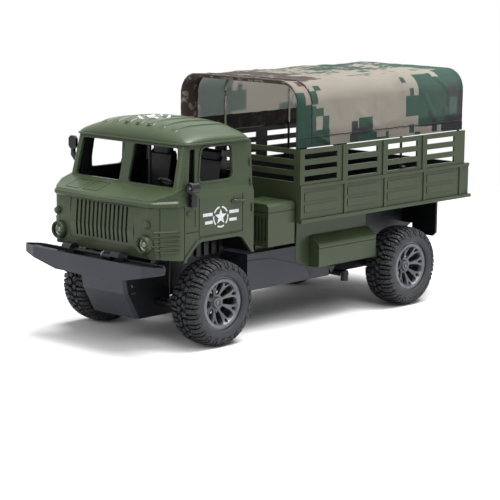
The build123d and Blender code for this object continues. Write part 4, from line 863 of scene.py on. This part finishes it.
# the front hem is turned in behind the first bow
turned_in = [(0.7, 1.3), (0.9, 2.6), (2.0, 3.7), (4.5, 4.0), (7.5, 3.8), (12.0, 2.8), (16.5, 1.6)]
strip_rows = 120
points, strip_places = [], []
for back_x, inset in turned_in:
    for k in range(strip_rows + 1):
        s = 0.8 + (across_length - 1.6) * k / strip_rows
        y, z, _, _ = section(s, inset)
        points.append(at(canopy_front_x - back_x, y, z))
        strip_places.append((canopy_front_x - back_x, s))
strip = piece_of("canopy front hem", (points, sheet_faces(len(turned_in) - 1, strip_rows)), lining, sharp=80)
spread_out(strip.data, strip_places)


# ================= cab roof =================
roof_low, roof_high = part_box("cab_roof")
lip_rear_x, lip_front_x = [(v[0] - front_axle_x) / MM for v in (roof_low, roof_high)]
lip_half = roof_high[1] / MM
lip_low_z = roof_low[2] / MM
roof_top_z = roof_high[2] / MM
lip_top_z = lip_low_z + 1.3
lip_width = 1.3
crown_rise = roof_top_z - lip_top_z - 0.7


def rib_height(y, x):
    """Pressed bands that run fore and aft over the roof."""
    band = abs((y / 12.0 + 0.5) % 1.0 - 0.5) * 12.0
    edge = max(0.0, min(1.0, (3.2 - band) / 0.45))
    fade = max(0.0, min(1.0, (19.0 - x) / 4)) * max(0.0, min(1.0, (45 - abs(y)) / 3))
    return 0.8 * edge * fade


def roof_height(x, y, half, rear, front):
    """Height of the crown over its lip."""
    v = min(1.0, abs(y) / half)
    u = (x - rear) / (front - rear)
    across = (1 - v ** 3.4) ** 0.5
    ahead = (1 - max(0.0, min(1.0, (u - 0.5) / 0.5)) ** 3.6) ** 0.52
    behind = (1 - max(0.0, min(1.0, (0.5 - u) / 0.5)) ** 6.0) ** 0.5
    slope = 0.86 + 0.14 * (1 - (2 * u - 1.1) ** 2)
    dome = 1 - 0.22 * v * v
    return crown_rise * across * ahead * behind * slope * dome


def crown_z(x, y):
    """Height of the roof's crown at a place, without its bands."""
    return lip_top_z + roof_height(x, y, lip_half - lip_width, lip_rear_x + lip_width, lip_front_x - lip_width)


def make_roof():
    half = lip_half - lip_width
    rear, front = lip_rear_x + lip_width, lip_front_x - lip_width
    corner = 7.0
    columns, rows = 84, 300
    points = []
    for i in range(columns + 1):
        t = i / columns
        x = rear + (front - rear) * (0.5 - 0.5 * cos(pi * t))
        inside = min(x - rear, front - x)
        reach = half
        if inside < corner:
            reach = half - corner + sqrt(max(0.0, corner ** 2 - (corner - inside) ** 2))
        for j in range(rows + 1):
            w = 2 * j / rows - 1
            w = sin(w * pi / 2) * 0.45 + w * 0.55
            y = reach * w
            z = lip_top_z + roof_height(x, y, reach + 0.001, rear - 0.001, front + 0.001) + rib_height(y, x)
            points.append(at(x, y, z))
    faces = sheet_faces(columns, rows, turned_over=True)
    # the drip lip goes round the crown's edge
    loop = list(range(rows + 1)) + [i * (rows + 1) + rows for i in range(1, columns + 1)]
    loop += [columns * (rows + 1) + j for j in range(rows - 1, -1, -1)]
    loop += [i * (rows + 1) for i in range(columns - 1, 0, -1)]
    middle = at((rear + front) / 2, 0, 0)
    rings = [(0.55, 0.0), (1.0, -0.15), (1.0, -1.15), (0.8, -1.3), (-1.5, -1.3)]
    count = len(loop)
    for out, drop in rings:
        for k, index in enumerate(loop):
            spot = points[index]
            before, after = points[loop[k - 1]], points[loop[(k + 1) % count]]
            run = after - before
            normal = Vector((run.y, -run.x, 0))
            if normal.length < 1e-9:
                normal = spot - middle
                normal.z = 0
            normal.normalize()
            if normal.dot(spot - middle) < 0:
                normal = -normal
            points.append(Vector((spot.x + normal.x * out * lip_width * MM, spot.y + normal.y * out * lip_width * MM,
                                  (lip_top_z + drop) * MM)))
    previous = loop
    for r in range(len(rings)):
        start = (columns + 1) * (rows + 1) + r * count
        current = [start + k for k in range(count)]
        faces += [(previous[k], previous[(k + 1) % count], current[(k + 1) % count], current[k])
                  for k in range(count)]
        previous = current
    return points, faces


roof = piece_of("cab roof", make_roof(), olive, sharp=28)
roof_skin = roof.modifiers.new("thickness", "SOLIDIFY")
roof_skin.thickness = 1.0 * MM
roof_skin.offset = -1
# painted shade: the roof's underside, seen from inside the cab, is black
roof.data.materials.append(black)
roof_skin.material_offset = 1
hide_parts("cab_roof")


def knob(x, y, z, radius, height, material, name, direction=Vector((0, 0, 1)), body="root", rings=None):
    """Small turned fitting: a flange with a dome, standing along a direction."""
    rings = rings or [(0, 0), (0, 1.0), (0.35, 1.0), (0.45, 0.72), (0.8, 0.62), (0.95, 0.4), (1.0, 0.0)]
    part = turned([(h * height * MM, r * radius * MM) for h, r in rings], 20)
    spin = direction.to_track_quat("Y", "Z").to_matrix().to_4x4()
    return piece_of(name, moved(part, Matrix.Translation(at(x, y, z)) @ spin), material, body, sharp=50)


for k, y in enumerate((-11.5, 0, 11.5)):
    z = crown_z(16.5, y)
    lean = Vector((0.35, 0, 1)).normalized()
    knob(16.5, y, z - 0.4, 2.3, 2.0, olive, f"roof knob {k}", lean)

# ================= lamps on the nose =================
nose_x = (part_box("cab_body")[1][0] - front_axle_x) / MM
lens_low, lens_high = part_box("headlamp_lenses")
lamp_y = (abs(lens_low[1]) + abs(lens_high[1])) / 2 / MM - 4.4
lamp_z = (lens_low[2] + lens_high[2]) / 2 / MM
lens_x = (lens_low[0] - front_axle_x) / MM
ahead = Vector((1, 0, 0))
lens_parts = []
for side in (-1, 1):
    y = side * lamp_y
    ring = [(0, 0.80), (0.0, 1.12), (0.55, 1.12), (0.8, 1.06), (0.92, 0.95), (0.8, 0.84), (0.3, 0.78)]
    knob(lens_x - 0.5, y, lamp_z, 5.9, 5.0, olive, f"headlamp ring {side}", ahead, rings=ring)
    dish = [(0, 0), (0, 4.55), (1.3, 4.5), (0.7, 3.4), (0.9, 2.6), (1.9, 2.3), (2.5, 1.5), (2.7, 0)]
    part = turned(scaled(dish), 40)
    spin = ahead.to_track_quat("Y", "Z").to_matrix().to_4x4()
    lens_parts.append(moved(part, Matrix.Translation(at(lens_x, y, lamp_z)) @ spin))
    signal = [(0, 0), (0, 1.0), (0.4, 1.0), (0.5, 0.8), (0.8, 0.72), (0.95, 0.45), (1.0, 0)]
    knob(nose_x - 3.2, side * (lamp_y + 2), lamp_z + 13.7, 2.7, 3.0, olive, f"signal {side}", ahead,
                 rings=signal)
    out = Vector((0, side, 0))
    knob(25.5, side * 59.2, 96, 2.0, 1.3, olive, f"side marker {side}", out)
lenses = piece_of("headlamp glass", join_up(lens_parts), lens_look, sharp=30)
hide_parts("headlamp_lenses")

# ================= white markings =================
marking_depth = 0.12


def star(radius, points_count=5, start=pi / 2):
    outline = []
    for k in range(2 * points_count):
        r = radius if k % 2 == 0 else radius * 0.42
        turn = start + pi * k / points_count
        outline.append((r * cos(turn) * MM, r * sin(turn) * MM))
    return outline


def ring_pieces(outer, inner):
    """Ring cut into five pieces, each between two tips of a star."""
    pieces = []
    for k in range(5):
        first, last = pi / 2 + 2 * pi * k / 5 + radians(9), pi / 2 + 2 * pi * (k + 1) / 5 - radians(9)
        turns = [first + (last - first) * j / 10 for j in range(11)]
        pieces.append([(outer * cos(t) * MM, outer * sin(t) * MM) for t in turns]
                      + [(inner * cos(t) * MM, inner * sin(t) * MM) for t in reversed(turns)])
    return pieces


def door_marking():
    """Star inside a ring that is broken at its tips, with two bars on each side."""
    flats = [star(5.9)] + ring_pieces(7.6, 6.4)
    for low_x, high_x, low_y, high_y in ((-17.5, -8, 1.5, 3.8), (8.5, 18, 1.5, 3.8), (-15.5, -8, -4.0, -1.8),
                                         (8.5, 16, -4.0, -1.8)):
        flats.append([(low_x * MM, low_y * MM), (high_x * MM, low_y * MM), (high_x * MM, high_y * MM),
                      (low_x * MM, high_y * MM)])
    return join_up([block(flat, 0, marking_depth * MM) for flat in flats])


for side, name in ((1, "left"), (-1, "right")):
    plate = facing(at(-6, side * 59.4, 90.5), Vector((-side, 0, 0)), Vector((0, 0, 1)))
    piece_of("door marking " + name, moved(door_marking(), plate), white_mark, sharp=20)


def drape_roof(flats, x, y):
    """Flat shapes cut into a fine mesh and laid on the roof."""
    made = bmesh.new()
    for flat in flats:
        corners_here = [made.verts.new((px, py, 0)) for px, py in flat]
        made.faces.new(corners_here)
    bmesh.ops.triangulate(made, faces=made.faces)
    for _ in range(4):
        longest = [edge for edge in made.edges if edge.calc_length() > 1.2 * MM]
        if not longest:
            break
        bmesh.ops.subdivide_edges(made, edges=longest, cuts=1)
        bmesh.ops.triangulate(made, faces=made.faces)
    for vertex in made.verts:
        px, py = x + vertex.co.x / MM, y + vertex.co.y / MM
        z = crown_z(px, py) + rib_height(py, px)
        vertex.co = at(px, py, z + 0.14)
    made.verts.index_update()
    result = [v.co.copy() for v in made.verts], [tuple(v.index for v in f.verts) for f in made.faces]
    made.free()
    return result


piece_of("roof star", drape_roof([star(8.6)] + ring_pieces(11.8, 10.2), -4, -6), white_mark, sharp=80)


# ================= trims =================
def rod(name, places, radius, material, body="root", sides=12):
    """Round bar through places given in mm ahead of the front axle, left and up."""
    piece_of(name, tube([at(*place) for place in places], radius * MM, sides), material, body)


# winch bar between the tow hooks, with a pale ring on it
rod("winch bar", [(58.6, -20.5, 65.2), (58.6, 20.5, 65.2)], 1.5, black)
rod("winch cover", [(60.5, 11.5, 65.0), (60.5, 20, 65.0)], 2.0, black)
ring_profile = [(0.9 * cos(2 * pi * k / 8) * MM, (2.1 + 0.7 * sin(2 * pi * k / 8)) * MM) for k in range(8)]
piece_of("winch ring", moved(turned(ring_profile, 20), Matrix.Translation(at(58.6, 9.3, 65.2))), rim_metal)

# ledges in the bumper's tray
for side in (-1, 1):
    strip = [(61.4, side * 33.5), (64.2, side * 33.5), (62.3, side * 62.5), (60.4, side * 62.5)]
    piece_of(f"bumper ledge {side}", block([flat(x, y) for x, y in strip], 62.3 * MM, 63.3 * MM), black,
             bevel=0.2 * MM)
    strip = [(54.2, side * 14.5), (56.4, side * 14.5), (56.4, side * 60.5), (54.2, side * 58.5)]
    piece_of(f"bumper rail {side}", block([flat(x, y) for x, y in strip], 62.3 * MM, 64.4 * MM), black,
             bevel=0.2 * MM)

# ball heads of the steering arms, and dampers behind the wheels
for name, side in (("left", 1), ("right", -1)):
    head = [(0, 0), (0, 0.8), (0.25, 0.8), (0.4, 1.0), (0.7, 0.9), (0.92, 0.5), (1.0, 0)]
    knob(21, side * 38, 34.4, 1.7, 2.4, bright_metal, f"steering ball {name}", rings=head,
                 body=f"knuckle_{name}_body")
    rod(f"damper rod {name}", [(13.5, side * 28.5, 29), (11, side * 26.5, 57)], 0.8, black, sides=10)
    rod(f"damper {name}", [(12.6, side * 27.8, 39), (11, side * 26.5, 57)], 1.7, black)

# corrugated liners inside the front wheel arches
for side in (-1, 1):
    wave = []
    for k in range(9):
        x = -37 + k * 7.6
        wave += [(x, 30.0), (x + 0.4, 31.9), (x + 4.6, 31.9), (x + 5.0, 30.0)]
    outline = [flat(x, side * y) for x, y in wave] + [flat(x, side * 28.5) for x in (32, -37)]
    piece_of(f"arch liner {side}", block(outline, 58.2 * MM, 76.0 * MM), black, sharp=30)

# post between the seats
rod("cab post", [(-5.9, -12.5, 78), (-5.9, -12.5, 142.5)], 1.2, grey)

# headrests
for name, side in (("left", 1), ("right", -1)):
    seat_low, seat_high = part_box(f"seat_{name}")
    rest = [(seat_low[0] + 0.5 * MM, seat_low[1] + 2 * MM), (seat_low[0] + 6 * MM, seat_low[1] + 2 * MM),
            (seat_low[0] + 6 * MM, seat_high[1] - 2 * MM), (seat_low[0] + 0.5 * MM, seat_high[1] - 2 * MM)]
    piece_of(f"headrest {name}", block(rest, 124 * MM, 133 * MM), black, bevel=2.0 * MM)

# round front of the search lamp: black rim and dish with a small bulb
lamp_rim = [(0, 0.96), (0.35, 1.1), (0.8, 1.1), (1.0, 1.0), (1.0, 0.84), (0.55, 0.76), (0.3, 0.4), (0.25, 0)]
knob(27.6, 63.9, 114.1, 3.9, 2.0, black, "search lamp rim", ahead, rings=lamp_rim)
knob(28.0, 63.9, 114.1, 1.3, 1.5, rim_metal, "search lamp bulb", ahead)
for z in (103.2, 107.4):
    knob(26.6, 64.4, z, 1.0, 1.2, black, f"search lamp screw {z:.0f}", ahead)

# small pads moulded on the keel's sides
keel_tree = BVHTree.FromObject(bpy.data.objects["chassis"], bpy.context.evaluated_depsgraph_get())
for side in (-1, 1):
    for k, (x1, z1, x2, z2) in enumerate(((45.6, 44.2, 44.6, 42.0), (46.0, 37.7, 41.8, 37.5))):
        places = []
        for x, z in ((x1, z1), (x2, z2)):
            wall = keel_tree.ray_cast(at(x, side * 70.0, z), Vector((0, -side, 0)))[0]
            places.append((x, wall.y / MM, z))
        rod(f"keel pad {side} {k}", places, 0.5, rim_metal, sides=8)

# painted shade: black plates set just over the floors of the louvre boxes' slots, to darken them
for side in (-1, 1):
    shade_plates = []
    for k in range(4):
        y = side * (52.0 + (k - 1.5) * 3.4)
        shade_plates.append(block([flat(-54.72, y - 0.7), flat(-54.45, y - 0.7), flat(-54.45, y + 0.7),
                            flat(-54.72, y + 0.7)], 66.3 * MM, 84.2 * MM))
    piece_of(f"slot backs {side}", join_up(shade_plates), black)

def skirt_plane(side):
    """Matrix from flat places to the upright plane of a skirt."""
    return facing(at(0, side * 50.0, 0), Vector((side, 0, 0)), Vector((0, 0, 1)))


# dark three-cornered webs and a line on the skirts
for side in (-1, 1):
    plane = skirt_plane(side)
    webs = []
    for x, half_web, top, tip in ((-111.5, 5.6, 41.5, 33.1), (-134.8, 4.3, 38.0, 32.6)):
        web = scaled([(side * (x - half_web), top), (side * (x + half_web), top), (side * x, tip)])
        webs.append(block(web, -0.2 * MM, 0.4 * MM))
    piece_of(f"skirt webs {side}", moved(join_up(webs), plane), black)
    bent_line = [(x, side * 50.0, z) for x, z in ((-43.6, 53.2), (-67.3, 52.4), (-94.0, 45.5))]
    rod(f"skirt line {side}", bent_line, 0.3,
        black, sides=8)

# green panel behind each storage box, from the skirt up to the bed
for side in (-1, 1):
    plane = skirt_plane(side)
    panel = [(-94.6, 77.3), (-94.6, 47.5), (-96.5, 45.0), (-110, 41.0), (-174, 41.0), (-174, 77.3)]
    slab = block(scaled([(side * x, z) for x, z in panel]), -0.3 * MM, 1.2 * MM)
    piece_of(f"box panel {side}", moved(slab, plane), olive, bevel=0.6 * MM)

# inner halves of the mud flaps, and the pegs of the rear links
for side in (-1, 1):
    plate = [flat(-252.4, side * 12.5), flat(-251.6, side * 12.5), flat(-251.6, side * 36),
             flat(-252.4, side * 36)]
    piece_of(f"flap inner {side}", block(plate, 56 * MM, 77.4 * MM), black)
    rod(f"link peg {side}", [(-159.4, side * 42.0, 22.4), (-159.4, side * 42.0, 30.0)], 3.0, black,
        sides=24)

# ridges between the louvres, wrapped round the cab's front corners
cab_tree = BVHTree.FromObject(bpy.data.objects["cab_body"], bpy.context.evaluated_depsgraph_get())
for side in (-1, 1):
    ridges = []
    for k in range(5):
        places = []
        for part_of in range(33):
            aim = at(30.0, side * 42.0, 71.8 + 3.1 * k)
            turn = radians(2 + 80 * part_of / 32)
            reach = Vector((sin(turn), side * cos(turn), 0))
            hit = cab_tree.ray_cast(aim + reach * 0.06, -reach)[0]
            if abs(hit.y) > 50.3 * MM and hit.x > front_axle_x + 34.5 * MM:
                places.append(hit - reach * 0.55 * MM)
        ridges.append(tube(places, 1.05 * MM, 8))
    piece_of(f"louvre ridges {side}", join_up(ridges), olive, sharp=60)

# door handles
for side in (-1, 1):
    wall = cab_tree.ray_cast(at(-23.5, side * 70.0, 100.5), Vector((0, -side, 0)))[0].y / MM
    grip = [(-29.2, wall, 100.2), (-28.2, wall + side * 0.5, 100.4), (-19.5, wall + side * 0.6, 100.9),
            (-18.2, wall, 101.0)]
    rod(f"door handle {side}", grip, 0.75, olive, sides=10)


def hinge_y(z):
    """Half width of the cab's wall at a height, with the pins standing just out of it."""
    wall = cab_tree.ray_cast(at(-36.5, 70.0, z), Vector((0, -1, 0)))[0]
    return wall.y / MM + 0.2


for side in (-1, 1):
    for z in (94.0, 112.0, 126.0):
        pin = [(-37.6, side * hinge_y(z), z + end) for end in (-2.6, 2.6)]
        rod(f"hinge {side} {z:.0f}", pin, 1.0, olive)

# ================= floor, world and lamps =================
floor_half = 4.0
floor_reach = 0.75
floor_mesh = bpy.data.meshes.new("floor")
floor_mesh.from_pydata([(-floor_half, -floor_half, 0), (floor_half, -floor_half, 0),
                        (floor_half, floor_half, 0), (-floor_half, floor_half, 0)], [], [(0, 1, 2, 3)])
floor = link(bpy.data.objects.new("floor", floor_mesh))


floor_look = Shader("pale floor")
floor_tone = floor_look.noise(floor_look.place(), 3)
floor_pale = floor_look.mix(floor_tone, (0.86, 0.86, 0.86, 1), (0.88, 0.88, 0.88, 1))
# the light that the floor sends back up to the truck is weaker than the floor looks
floor_look.set(Base_Color=floor_look.mix(floor_look.seen_rays(), (0.42, 0.42, 0.42, 1), floor_pale), Roughness=0.9)
floor_mesh.materials.append(floor_look.material)


def whiten(look):
    """Away from the truck the floor is seen as white as the backdrop behind it."""
    output = next(node for node in look.nodes if node.type == "OUTPUT_MATERIAL")
    shaded = output.inputs["Surface"].links[0].from_socket
    parts = look.split(look.place())
    across, along = [look.math("POWER", look.math("DIVIDE", part, floor_reach), 2.0) for part in parts[:2]]
    away = look.between(look.math("SQRT", look.plus(across, along)), 0.55, 1.0, 0.0, 1.0)
    white = look.node("Emission", {"Color": (1, 1, 1, 1), "Strength": 1.0})
    chosen = look.node("MixShader", {0: look.times(away, look.seen_rays()), 1: shaded, 2: white.outputs[0]})
    look.join(chosen.outputs[0], output, "Surface")


whiten(floor_look)

# the world lights the truck as a soft sky, and is seen as plain white
world = bpy.data.worlds.new("world")
bpy.context.scene.world = world
sky_tree = Tree(world)
sky = sky_tree.nodes["Background"]
sky.inputs["Color"].default_value = (1, 1, 1, 1)
sky.inputs["Strength"].default_value = 0.3
plain = sky_tree.node("Background", {"Color": (1, 1, 1, 1), "Strength": 1.0})
chosen = sky_tree.node("MixShader", {0: sky_tree.seen_rays(), 1: sky.outputs[0], 2: plain.outputs[0]})
sky_tree.join(chosen.outputs[0], sky_tree.nodes["World Output"], "Surface")


def soft_lamp(name, place, size, power):
    """Square area lamp that looks at the middle of the truck."""
    lamp_data = bpy.data.lights.new(name, "AREA")
    lamp_data.size = size
    lamp_data.energy = power
    lamp = link(bpy.data.objects.new(name, lamp_data))
    lamp.location = place
    lamp.rotation_euler = (Vector((0, 0, 0.09)) - lamp.location).to_track_quat("-Z", "Y").to_euler()


soft_lamp("key", (0.7, 1.3, 1.7), 1.2, 18)
soft_lamp("fill", (1.8, -0.4, 1.0), 1.2, 12)
soft_lamp("top", (-0.4, 0.2, 2.0), 1.4, 80)
